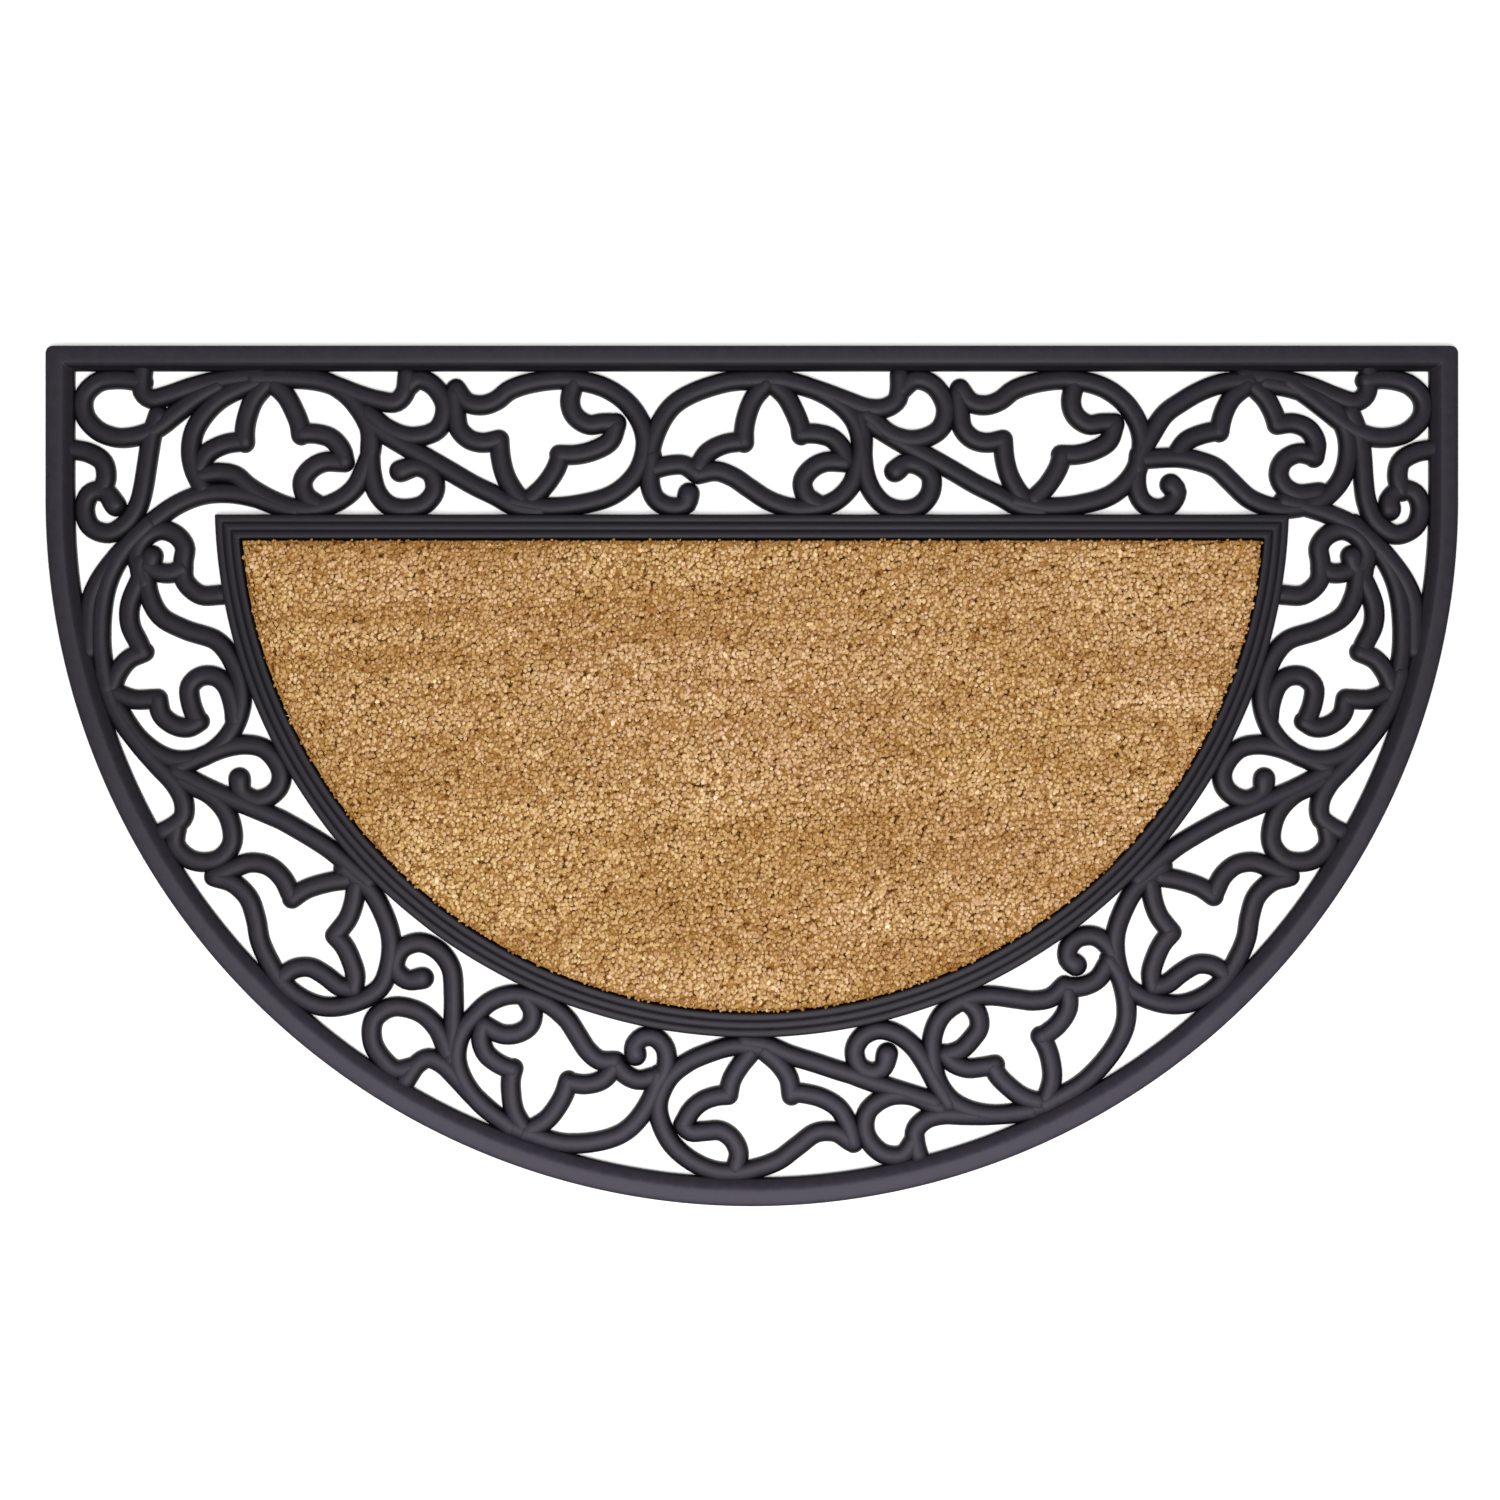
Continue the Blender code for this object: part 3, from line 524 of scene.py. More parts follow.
ARCH_RIGHT = (
    ("arch right", False, ((-10, 90), (12, 89), (35, 82), (51, 76), (65, 71), (76, 71), (84, 76), (86, 84),
                           (86, 93))),
    ("leaf", False, ((86, 82), (96, 90), (108, 86), (116, 71), (112, 57), (97, 50), (81, 53), (64, 67))),
)
CORNER_ARCH_RIGHT = (
    ("arch right", False, ((-10, 91), (12, 91), (34, 89), (47, 85), (60, 80), (74, 76), (85, 75), (91, 81),
                           (93, 93))),
    ("leaf", False, ((92, 84), (100, 90), (110, 86), (118, 72), (113, 57), (96, 52), (80, 57), (66, 68))),
)
FRONT_ARCH_RIGHT = (
    ("arch right", False, ((-10, 90), (12, 89), (36, 81), (50, 75), (62, 71), (71, 72), (75, 79), (76, 93))),
    ("leaf", False, ((76, 82), (84, 90), (93, 89), (104, 83), (111, 70), (106, 56), (90, 49), (76, 52),
                     (62, 63))),
)
DIAGONAL = (
    ("diagonal", False, ((66, 62), (73, 57), (84, 50), (96, 43), (109, 36), (121, 29), (136, 20), (150, 13),
                         (165, 5), (180, 3))),
)
SIDE_DIAGONAL = (
    ("diagonal", False, ((58, 67), (72, 56), (88, 43), (105, 30), (120, 20), (135, 12), (148, 7), (165, 4),
                         (180, 3))),
)
print("strands between two flowers:", len(S_CURL + ARCH_RIGHT + DIAGONAL))

# %% [markdown]
# ## The inward flowers
# A flower that points to the trim is an open ring with four petals, and its tip is at U 170.

# %% The chart of the inward flowers
INWARD_FLOWER = (
    ("ring", False, ((125, 84), (132, 75), (142, 73), (151, 76), (160, 83), (175, 88), (198, 90), (223, 84),
                     (240, 70), (248, 50), (243, 29), (228, 14), (206, 7), (182, 5), (160, 9))),
    ("left petal foot", False, ((124, 81), (125, 67), (127, 57), (134, 50), (143, 48), (153, 50))),
    ("tip petal left", False, ((153, 50), (154, 38), (157, 26), (163, 15), (168, 9))),
    ("tip petal right", False, ((173, 10), (183, 20), (190, 31), (193, 40))),
    ("right petal foot", False, ((192, 40), (203, 40), (215, 43), (225, 49), (229, 60))),
    ("right petal top", False, ((229, 61), (220, 61), (211, 60), (202, 66), (199, 75), (202, 89))),
)
SIDE_INWARD_FLOWER = (
    ("ring", False, ((122, 80), (130, 72), (140, 70), (150, 75), (160, 83), (175, 89), (198, 91), (223, 84),
                     (240, 68), (248, 50), (241, 33), (228, 20), (208, 11), (184, 6), (160, 9))),
    ("left petal foot", False, ((122, 80), (124, 66), (127, 54), (134, 46), (143, 44), (153, 47))),
    ("tip petal left", False, ((154, 48), (155, 37), (160, 23), (166, 12))),
    ("tip petal right", False, ((173, 10), (183, 20), (189, 30), (191, 43))),
    ("right petal foot", False, ((191, 44), (203, 45), (215, 49), (226, 55), (232, 63))),
    ("right petal top", False, ((231, 63), (222, 67), (207, 68), (194, 71), (186, 79), (184, 89))),
)
FRONT_INWARD_FLOWER = (
    ("ring", False, ((124, 75), (131, 67), (140, 66), (150, 74), (160, 83), (175, 89), (198, 90), (220, 82),
                     (235, 70), (245, 50), (240, 32), (227, 20), (210, 12), (186, 6), (160, 9))),
    ("left petal foot", False, ((123, 76), (124, 64), (128, 51), (136, 43), (145, 39), (151, 38))),
    ("tip petal left", False, ((151, 40), (152, 28), (157, 18), (165, 9))),
    ("tip petal right", False, ((173, 10), (183, 20), (189, 29), (191, 38))),
    ("right petal foot", False, ((191, 39), (200, 40), (211, 44), (219, 51), (224, 61))),
    ("right petal top", False, ((224, 61), (218, 65), (208, 64), (196, 63), (187, 68), (182, 77), (184, 88))),
)
print("strands in an inward flower:", len(INWARD_FLOWER))

# %% [markdown]
# ## Variants beside the corners
# A moulded border has to turn its corners, so the flowers next to them differ more: a petal hooks back, and
# the side flowers grow out of the corner.

# %% The chart of the corner flowers
HOOKED_PETAL = (
    ("hook top", False, ((14, 60), (24, 61), (33, 55), (37, 47), (36, 39))),
    ("hook foot", False, ((36, 40), (23, 40), (13, 37), (9, 28), (12, 19), (20, 14), (34, 14), (45, 17))),
)
CORNER_FLOWER = (
    ("arch left", False, ((-77, 30), (-74, 42), (-67, 54), (-58, 67), (-45, 76), (-34, 82), (-20, 87),
                          (2, 90))),
    ("small curl", True, ((-76, 40), (-78, 20), (-74, 9), (-64, 4), (-54, 7), (-50, 15), (-54, 20))),
    ("top petal left", False, ((0, 87), (-11, 78), (-16, 70), (-19, 61), (-20, 55))),
    ("top petal right", False, ((3, 86), (11, 77), (16, 67), (18, 60))),
    ("left petal", False, ((-20, 56), (-31, 54), (-43, 49), (-50, 40))),
    ("hook top", False, ((18, 60), (28, 61), (37, 57), (42, 48), (41, 38))),
    ("hook foot", False, ((41, 39), (31, 41), (22, 36), (19, 27), (22, 19), (30, 14), (44, 15))),
    ("loop", False, ((10, 88), (28, 84), (43, 78), (53, 70), (60, 57), (62, 45), (60, 30), (54, 18), (42, 8),
                     (20, 4), (2, 10), (-13, 23), (-22, 31), (-32, 35), (-48, 38), (-74, 37))),
)
SIDE_FLOWER = (
    ("arch left", False, ((-97, 44), (-82, 61), (-61, 76), (-30, 86), (0, 90))),
    ("top petal left", False, ((0, 87), (-8, 80), (-14, 71), (-16, 60))),
    ("top petal right", False, ((3, 86), (10, 75), (13, 64), (14, 60))),
    ("left petal", False, ((-64, 52), (-46, 63), (-34, 65), (-22, 62), (-16, 61))),
    ("loop", False, ((10, 88), (34, 80), (50, 67), (57, 49), (55, 32), (47, 18), (34, 8), (18, 4), (0, 6),
                     (-12, 12), (-24, 30), (-36, 44), (-50, 49), (-67, 50))),
)
LEFT_CORNER_RING = (
    ("ring", False, ((0, 91), (-16, 85), (-31, 77), (-41, 67), (-48, 55), (-50, 42), (-48, 30), (-42, 17))),
)
print("strands in a side flower:", len(SIDE_FLOWER + HOOKED_PETAL))

# %% [markdown]
# ## The two corners
# In a corner the straight band and the round one run into each other, so its strands are charted in plain X
# and Y from the centre of the arc. The left corner is mirrored, with a longer root.

# %% The chart of the corners
CORNER = (
    ("rim hook", False, ((445, 34), (430, 31), (421, 25), (419, 15), (422, 6))),
    ("side ring", True, ((344, -61), (358, -61), (368, -52), (369, -40), (368, -30), (374, -22), (384, -19),
                         (394, -24), (399, -34), (397, -43), (392, -44), (389, -36))),
    ("ring foot", False, ((369, -44), (377, -47), (386, -46), (393, -42))),
    ("ring to petal", False, ((397, -38), (397, -46), (394, -54))),
)
RIGHT_CORNER = CORNER + (
    ("arch", False, ((318, 81), (340, 79), (362, 74), (380, 67), (391, 64), (398, 68), (400, 76), (400, 88))),
    ("leaf", False, ((398, 78), (412, 79), (427, 75), (435, 66), (435, 55), (426, 45), (413, 41), (400, 42),
                     (387, 48), (374, 58), (361, 68), (348, 77))),
    ("spiral", True, ((388, 58), (394, 42), (396, 28), (397, 13), (399, -1), (405, -14), (418, -22),
                      (430, -17), (434, -5), (430, 5), (421, 7), (414, 1), (414, -6))),
    ("root", False, ((345, 0), (360, -4), (375, -9), (390, -16), (403, -27), (415, -40), (424, -53),
                     (429, -66), (430, -82), (430, -98))),
)
LEFT_CORNER = CORNER + (
    ("arch", False, ((318, 81), (340, 79), (362, 74), (380, 68), (389, 66), (395, 70), (395, 88))),
    ("leaf", False, ((395, 77), (410, 79), (424, 77), (433, 68), (433, 56), (425, 46), (412, 41), (399, 42),
                     (386, 47), (373, 57), (360, 67), (346, 75))),
    ("spiral", True, ((385, 56), (389, 44), (391, 33), (393, 20), (395, 8), (398, -3), (405, -14), (417, -21),
                      (429, -17), (433, -5), (429, 5), (420, 6), (413, -3))),
    ("root", False, ((296, -6), (308, -3), (322, 2), (339, 5), (356, 4), (372, -2), (389, -14), (403, -27),
                     (415, -40), (424, -53), (429, -66), (430, -82), (430, -98))),
)
print("strands in a corner:", len(RIGHT_CORNER))

# %% [markdown]
# ## Where each repeat lies
# The repeats are not quite equal on a moulded mat, because the pattern is stretched to fit its length. Each
# row says whether the repeat is mirrored, where the six marks of the chart lie along the band in
# millimetres, and which strands it has. The straight band is measured from its middle, the round one from
# its end.

# %% The places of the repeats
SIDE_REPEAT = SIDE_FLOWER + HOOKED_PETAL + SIDE_S_CURL + ARCH_RIGHT + SIDE_DIAGONAL + SIDE_INWARD_FLOWER
STRAIGHT_REPEATS = (
    (False, (-414, -314, -199, -147, -67, 10),
     LEFT_CORNER_RING + FLOWER_TIP + CORNER_LOOP + RIGHT_PETAL + CORNER_S_CURL + CORNER_ARCH_RIGHT + DIAGONAL
     + INWARD_FLOWER),
    (False, (-90, 10, 128, 180, 255, 322),
     ARCH_FOOT + FLOWER_TIP + LOOP + RIGHT_PETAL + S_CURL + ARCH_RIGHT + DIAGONAL + INWARD_FLOWER),
    (False, (229, 322, 446, 501, 585, 666), CORNER_FLOWER),
)
ROUND_REPEATS = (
    (False, (12, 112, 235, 298, 361, 439), SIDE_REPEAT),
    (False, (336, 439, 550, 616, 683, 752),
     FRONT_ARCH_FOOT + FLOWER_TIP + LOOP + LOW_RIGHT_PETAL + DEEP_S_CURL + ARCH_RIGHT + DIAGONAL
     + FRONT_INWARD_FLOWER),
    (False, (663, 752, 873, 926, 1009, 1088),
     FRONT_ARCH_FOOT + FLOWER_TIP + LOOP + RIGHT_PETAL + WIDE_S_CURL + FRONT_ARCH_RIGHT),
    (True, (12, 112, 235, 301, 363, 443), SIDE_REPEAT),
)
print("repeats:", len(STRAIGHT_REPEATS), "straight and", len(ROUND_REPEATS), "round")

# %% [markdown]
# ## From the chart to the mat
# A strand's few charted points become a smooth curve, as a draughtsman bends a lath through pins. Each
# stretch of it blends the straight lines through its four nearest marks. Blender's own curves could run
# through the marks as well, but marks here get a share of the run by the square root of their distance,
# which makes no loop or overshoot at sharp turns. The curve is then laid on its band: U gives the distance
# along the band, between the repeat's own marks, and V the distance across it. On the round band these
# become an angle and a radius.

# %% Smooth curves on the bands
CURVE_SAMPLES = 20


def blend(low, high, first, second, t):
    """The line that is at the first point when t is low and at the second when t is high."""
    return ((high - t) * first + (t - low) * second) / (high - low)


def smooth_path(points):
    """Lines between marks, blended twice more; t grows by the square root of the distance between marks."""
    marks = np.asarray(points, float)
    marks = np.vstack([2 * marks[0] - marks[1], marks, 2 * marks[-1] - marks[-2]])
    chords = np.linalg.norm(np.diff(marks, axis=0), axis=1)
    knots = np.concatenate([[0.0], np.cumsum(np.sqrt(chords))])
    pieces = []
    for i in range(1, len(marks) - 2):
        p0, p1, p2, p3 = marks[i - 1:i + 3]
        t0, t1, t2, t3 = knots[i - 1:i + 3]
        t = np.linspace(t1, t2, CURVE_SAMPLES, endpoint=False)[:, None]
        before = blend(t0, t1, p0, p1, t)
        between = blend(t1, t2, p1, p2, t)
        beyond = blend(t2, t3, p2, p3, t)
        near, far = blend(t0, t2, before, between, t), blend(t1, t3, between, beyond, t)
        pieces.append(blend(t1, t2, near, far, t))
    return np.vstack(pieces + [marks[-2:-1]])


def on_straight_band(along, across):
    """x = the place along the band, y = the trim's outer edge + the place across it."""
    return np.column_stack([along, SIDE_STRAIGHT - TRIM_INSET + across])


def on_round_band(along, across):
    """Angle = place along / the band's middle radius, clockwise; radius = the trim's + the place across."""
    angle = along / (MAT_RADIUS - LEDGE_INSET - SCROLL_WIDTH / 2)
    radius = MAT_RADIUS - TRIM_INSET + across
    return np.column_stack([radius * np.cos(angle), -radius * np.sin(angle)])


def place_strands(lay, repeats):
    """The centrelines of every strand of a band's repeats, each with whether it ends in a ball."""
    placed = []
    for mirrored, stations, strands in repeats:
        side = (-1, 1) if mirrored else (1, 1)
        for _, ball, points in strands:
            path = smooth_path(points)
            along = np.interp(path[:, 0], CHART_STATIONS, stations)
            across = path[:, 1] * SCROLL_WIDTH / CHART_HEIGHT
            placed.append((lay(along, across) * side, ball))
    return placed


straight_strands = place_strands(on_straight_band, STRAIGHT_REPEATS)
round_strands = place_strands(on_round_band, ROUND_REPEATS)
for side, strands in (((1, 1), RIGHT_CORNER), ((-1, 1), LEFT_CORNER)):
    straight_strands.extend((smooth_path(points) * side, ball) for _, ball, points in strands)
print("strands on the straight edge and corners:", len(straight_strands))
print("strands round the arc:", len(round_strands))

# %% [markdown]
# ## Round strands
# Each strand of the scrollwork is a round bar laid on its flat side. A half-round section is carried along
# the curve, and both ends close like the end of a sausage: the section shrinks with the cosine of an angle
# while it moves on with the sine. A bevelled curve could give the bar, but round ends, a swelling ball and
# a flat foot come easier from rings. Where two strands cross, their round tops cut into each other and
# leave the crisp valleys that the moulding has. The underside rises a little towards its edges, as it does
# when rubber leaves a mould.

# %% The surface of one strand
STRAND_WIDTH = 13.4
STRAND_STEP = 2.2
BALL_SWELL = 0.10
BALL_LENGTH = 10.0
BALL_RISE = 8.0
END_TURNS = np.radians((18, 36, 54, 70, 82))
SECTION_TURN = np.linspace(0.0, np.pi, 11)
SECTION_FULLNESS = 0.78
SIDE_HEIGHT = 0.06
ROUND_HEIGHT = 0.94
FOOT_HEIGHT = 0.03
UNDER = ((-0.55, FOOT_HEIGHT), (0.0, 0.0), (0.55, FOOT_HEIGHT))


def strand_section():
    """Across = cos ** fullness and up = sin ** fullness, a little fuller than a half circle."""
    cosine, sine = np.cos(SECTION_TURN), np.sin(SECTION_TURN)
    across = np.sign(cosine) * np.abs(cosine) ** SECTION_FULLNESS
    up = SIDE_HEIGHT + ROUND_HEIGHT * np.abs(sine) ** SECTION_FULLNESS
    return np.vstack([np.column_stack([across, up]), UNDER])


def evenly(path, step):
    """The path sampled at even steps along its length: its points, unit tangents and lengths so far."""
    lengths = np.concatenate([[0.0], np.cumsum(np.linalg.norm(np.diff(path, axis=0), axis=1))])
    count = max(int(round(lengths[-1] / step)), 3)
    run = np.linspace(0.0, lengths[-1], count + 1)
    points = np.column_stack([np.interp(run, lengths, path[:, k]) for k in (0, 1)])
    tangents = np.gradient(points, axis=0)
    return points, tangents / np.linalg.norm(tangents, axis=1)[:, None], run


def strand_surface(path, ball, height):
    """Place = centre + normal * across * half width * scale, and z = up * height * scale."""
    points, tangents, run = evenly(path, STRAND_STEP)
    half = STRAND_WIDTH / 2
    scale = 1.0 + BALL_SWELL * np.clip((run - run[-1] + BALL_LENGTH) / BALL_RISE, 0.0, 1.0) * ball
    tip = scale[-1]
    starts = points[0] - tangents[0] * half * np.sin(END_TURNS[::-1, None])
    ends = points[-1] + tangents[-1] * half * tip * np.sin(END_TURNS[:, None])
    centres = np.vstack([starts, points, ends])
    ahead = np.repeat(tangents, [1 + len(starts)] + [1] * (len(points) - 2) + [1 + len(ends)], axis=0)
    scales = np.concatenate([np.cos(END_TURNS[::-1]), scale, tip * np.cos(END_TURNS)])
    normals = np.column_stack([-ahead[:, 1], ahead[:, 0]])
    section = strand_section()
    flat = centres[:, None] + normals[:, None] * (section[:, 0] * half)[None, :, None] * scales[:, None, None]
    up = section[None, :, 1] * height * scales[:, None]
    rings = np.concatenate([flat, up[..., None]], axis=2).reshape(-1, 3)
    start_pole = (*(points[0] - tangents[0] * half), FOOT_HEIGHT * height)
    end_pole = (*(points[-1] + tangents[-1] * half * tip), FOOT_HEIGHT * height)
    return np.vstack([rings, start_pole, end_pole]), closed_shell(len(rings), len(section))


print("rings of a strand 50 mm long:", len(evenly(np.array(((0.0, 0.0), (50.0, 0.0))), STRAND_STEP)[0]))

# %% [markdown]
# ## Casting the scrollwork
# All strands of a band are joined into one piece, since they are one casting. A boolean union would cut
# away what lies inside, but it is slow and nobody sees it. Each strand gets its own height, a few tenths of
# a millimetre up or down, so that no two tops lie in the same plane where they run together.

# %% The scrollwork pieces
HEIGHT_VARIES = (-0.25, 0.35)
rng = np.random.default_rng(11)


def cast_strands(name, strands):
    """Join the surfaces of many strands into one piece."""
    points, quads, fans = [], [], []
    first = 0
    for path, ball in strands:
        height = SCROLL_HEIGHT + rng.uniform(*HEIGHT_VARIES)
        some_points, (some_quads, some_fans) = strand_surface(path, ball, height)
        points.append(some_points)
        quads.append(some_quads + first)
        fans.append(some_fans + first)
        first += len(some_points)
    return make_piece(name, np.vstack(points), [np.vstack(quads), np.vstack(fans)], RUBBER)


scrolls_straight = cast_strands("rubber_scrolls_straight", straight_strands)
scrolls_round = cast_strands("rubber_scrolls_round", round_strands)

# %% [markdown]
# ## Tufts of coir
# Coir pile is cut coconut fibre, woven in as tufts in slanting rows, about six millimetres apart one way
# and five the other, with dark pits where four tufts meet. A particle system could set them, but here every
# point of the pad asks how far the nearest tuft's middle is, and the nearer it is, the higher the pile
# stands. The same question tells each fibre which way its tuft's middle lies. The tufts stand on a slanting
# grid that wanders a little, and their middles are shaken. A soft noise from the same random numbers makes
# all that is broader or finer than a tuft. Each use has its own pitch or adds its own number to the place,
# so no two of them look alike.

# %% Where the tufts stand
TUFT_STEPS = np.array(((6.1, 1.3), (1.3, 5.3)))
TO_TUFTS = np.linalg.inv(TUFT_STEPS)
TUFT_WANDER = 0.9
WANDER_PITCH = 24.0
FAR_AWAY = 9.0
CELLS = 256
MIDDLE_OF_CELL = (0.36, 0.64)
TUFT_JITTER = rng.uniform(*MIDDLE_OF_CELL, (CELLS, CELLS, 2))
TUFT_TONE = rng.uniform(0.0, 1.0, (CELLS, CELLS))


def soft_noise(x, y, pitch):
    """Value noise: random numbers at the corners of a grid, blended with 3t^2 - 2t^3 between them."""
    u, v = x / pitch, y / pitch
    column, row = np.floor(u).astype(int), np.floor(v).astype(int)
    s, t = u - column, v - row
    s, t = s * s * (3 - 2 * s), t * t * (3 - 2 * t)
    corner = [[TUFT_TONE[(column + i) % CELLS, (row + j) % CELLS] for j in (0, 1)] for i in (0, 1)]
    return (corner[0][0] * (1 - s) * (1 - t) + corner[1][0] * s * (1 - t)
            + corner[0][1] * (1 - s) * t + corner[1][1] * s * t)


def nearest_tuft(x, y):
    """Distance to the nearest tuft's middle in pitches, the way from it in mm, and that tuft's own tone."""
    wander_x = TUFT_WANDER * (soft_noise(x + 700, y + 100, WANDER_PITCH) - 0.5)
    wander_y = TUFT_WANDER * (soft_noise(x + 100, y + 700, WANDER_PITCH) - 0.5)
    u = x * TO_TUFTS[0, 0] + y * TO_TUFTS[1, 0] + wander_x
    v = x * TO_TUFTS[0, 1] + y * TO_TUFTS[1, 1] + wander_y
    column, row = np.floor(u).astype(int), np.floor(v).astype(int)
    best = np.full(x.shape, FAR_AWAY)
    away_x, away_y, tone = np.zeros(x.shape), np.zeros(x.shape), np.zeros(x.shape)
    for i in (-1, 0, 1):
        for j in (-1, 0, 1):
            c, r = (column + i) % CELLS, (row + j) % CELLS
            to_x = u - (column + i) - TUFT_JITTER[c, r, 0]
            to_y = v - (row + j) - TUFT_JITTER[c, r, 1]
            distance = np.hypot(to_x, to_y)
            nearer = distance < best
            best = np.where(nearer, distance, best)
            away_x = np.where(nearer, to_x, away_x)
            away_y = np.where(nearer, to_y, away_y)
            tone = np.where(nearer, TUFT_TONE[c, r], tone)
    way_x = away_x * TUFT_STEPS[0, 0] + away_y * TUFT_STEPS[1, 0]
    way_y = away_x * TUFT_STEPS[0, 1] + away_y * TUFT_STEPS[1, 1]
    return best, way_x, way_y, tone


print("tufts in a square of 100 mm: about", int(100.0 ** 2 / np.linalg.det(TUFT_STEPS)))

# %% [markdown]
# ## Pits and broad tones
# Where tufts meet, the pile opens into a pit that looks dark, and the pile is painted darker there as
# painted shade. On the real mat some pits are deep and others nearly closed, so a share of noise weighs each
# one. The pile also has faint bands along the mat, patches and clouds of a few tufts. Each of these is a soft
# noise with its own pitch and stretch, and they are added up.

# %% Pits and shades
PIT_START = 0.49
PIT_SPAN = 0.13
PIT_PATCHES = 4.2
PATCH_START = 0.30
PATCH_SPAN = 0.40
LEAST_PIT = 0.42
MORE_PIT = 0.58
TUFT_SHADE = 0.06
SHADES = (
    {"name": "bands", "stretch": 11.0, "pitch": 14.0, "amount": 0.15},
    {"name": "patches", "stretch": 1.0, "pitch": 46.0, "amount": 0.04},
    {"name": "clouds", "stretch": 1.6, "pitch": 11.0, "amount": 0.08},
)


def pile_shade(x, y):
    """Broad tone of the pile about 0 = the sum of amount * (noise - 0.5), each noise stretched along x."""
    return sum(
        shade["amount"] * (soft_noise(x / shade["stretch"] + 900, y + 900, shade["pitch"]) - 0.5)
        for shade in SHADES
    )


def pit(x, y, distance):
    """A smooth step from PIT_START over PIT_SPAN pitches, times a share that makes pits unevenly deep."""
    step = np.clip((distance - PIT_START) / PIT_SPAN, 0.0, 1.0)
    share = np.clip((soft_noise(x + 200, y + 200, PIT_PATCHES) - PATCH_START) / PATCH_SPAN, 0.0, 1.0)
    return step * step * (3 - 2 * step) * (LEAST_PIT + MORE_PIT * share)


print("a pit begins", PIT_START, "pitches from its tufts and is full at", round(PIT_START + PIT_SPAN, 2))

# %% [markdown]
# ## Coir, golden and uneven
# Coir fibres run from dark brown through golden tan to pale straw, and a pile shows all of them side by
# side. A noise in space could colour them, but then one fibre would have many colours. So each point of the
# pile carries two numbers. Its tone picks a colour from a ramp, and its hue warms that colour towards gold
# or cools it towards a pinkish cream. Both are stored on the mesh and stay with the fibre. The tone also
# carries painted shade: it is lowered in the pits and low on each clump, and a hair raised at clump tips as
# a painted highlight. A fine noise breaks the tone up along each fibre. Coir is dry and matt, so it is rough.

# %% The coir material
COIR_STOPS = (
    (0.00, (0.090, 0.026, 0.004)),
    (0.20, (0.180, 0.068, 0.011)),
    (0.40, (0.285, 0.140, 0.038)),
    (0.60, (0.420, 0.257, 0.110)),
    (0.80, (0.605, 0.425, 0.240)),
    (1.00, (0.880, 0.700, 0.480)),
)
GOLDEN = (1.00, 1.00, 0.82)
PINKISH = (1.00, 0.96, 1.12)
FLECKS = (0.25, 0.75)
FLECK_TONES = (-0.12, 0.12)


def coir_material():
    """Colour = ramp(tone + flecks) * (from golden to pinkish by the hue); matt, with a fine grain."""
    material, tree, shader, place = plain_material("coir_pile", specular=0.10, roughness=0.84)
    tone = node_at(tree, "ShaderNodeAttribute", attribute_name="tone").outputs["Fac"]
    hue = node_at(tree, "ShaderNodeAttribute", attribute_name="hue").outputs["Fac"]
    flecks = noise(tree, place, scale=900.0, detail=3.0, roughness=0.65)
    spread = stretched(tree, flecks, FLECKS, FLECK_TONES)
    fibre = colour_ramp(tree, combined(tree, "ADD", tone, spread), COIR_STOPS)
    tint = mixed(tree, hue, GOLDEN, PINKISH)
    tree.links.new(mixed(tree, 1.0, fibre, tint, "MULTIPLY"), shader.inputs["Base Color"])
    raise_grain(tree, shader, flecks, strength=0.5, distance=0.0004)
    return material


def store_colours(piece, tone, hue):
    """Keep one tone and one hue for each point of the mesh."""
    for name, values in (("tone", tone), ("hue", hue)):
        layer = piece.data.attributes.new(name, "FLOAT", "POINT")
        layer.data.foreach_set("value", np.clip(values, 0.0, 1.0).astype(np.float32))


COIR = coir_material()
print("coir finish:", COIR.name)

# %% [markdown]
# ## The body of the pile
# The pad's top is one sheet of columns: each column runs from the arc to the straight edge, and every point
# on it asks the tufts how high the pile stands there. A flat sheet with a displace modifier could do the
# same, but the clumps and fibres have to ask for the same height. The body is the dark ground between the
# tufts, so it lies a little below their tops. Walls go down to the tray on all sides, and a fan closes the
# underside.

# %% The pad's surface
PAD_RADIUS = MAT_RADIUS - TRAY_INSET - SEAT_GAP
PAD_EDGE_Y = SIDE_STRAIGHT - TRAY_INSET - SEAT_GAP
PAD_HALF_WIDTH = np.sqrt(PAD_RADIUS ** 2 - PAD_EDGE_Y ** 2)
PAD_FOOT = TRAY_HEIGHT + SEAT_GAP
PAD_COLUMNS = 340
PAD_ROWS = 156
JUST_INSIDE = 0.9999
FAN_MIDDLE = 150.0
BELOW_TOP = 0.7
PIT_DEPTH = 4.0
FINE_PITCH = 1.7
FINE_HEIGHT = 0.5
TUFT_HEIGHT = 0.6
EDGE_DROP = 1.6
EDGE_DROP_WIDTH = 1.3
GROUND_DEPTH = 1.6
GROUND_TONE = 0.42
GROUND_HUE = 0.2


def edge_distance(x, y):
    """How far inside the pad a point is: the smaller of its distances to the arc and to the straight edge."""
    return np.minimum(PAD_RADIUS - np.hypot(x, y), PAD_EDGE_Y - y)


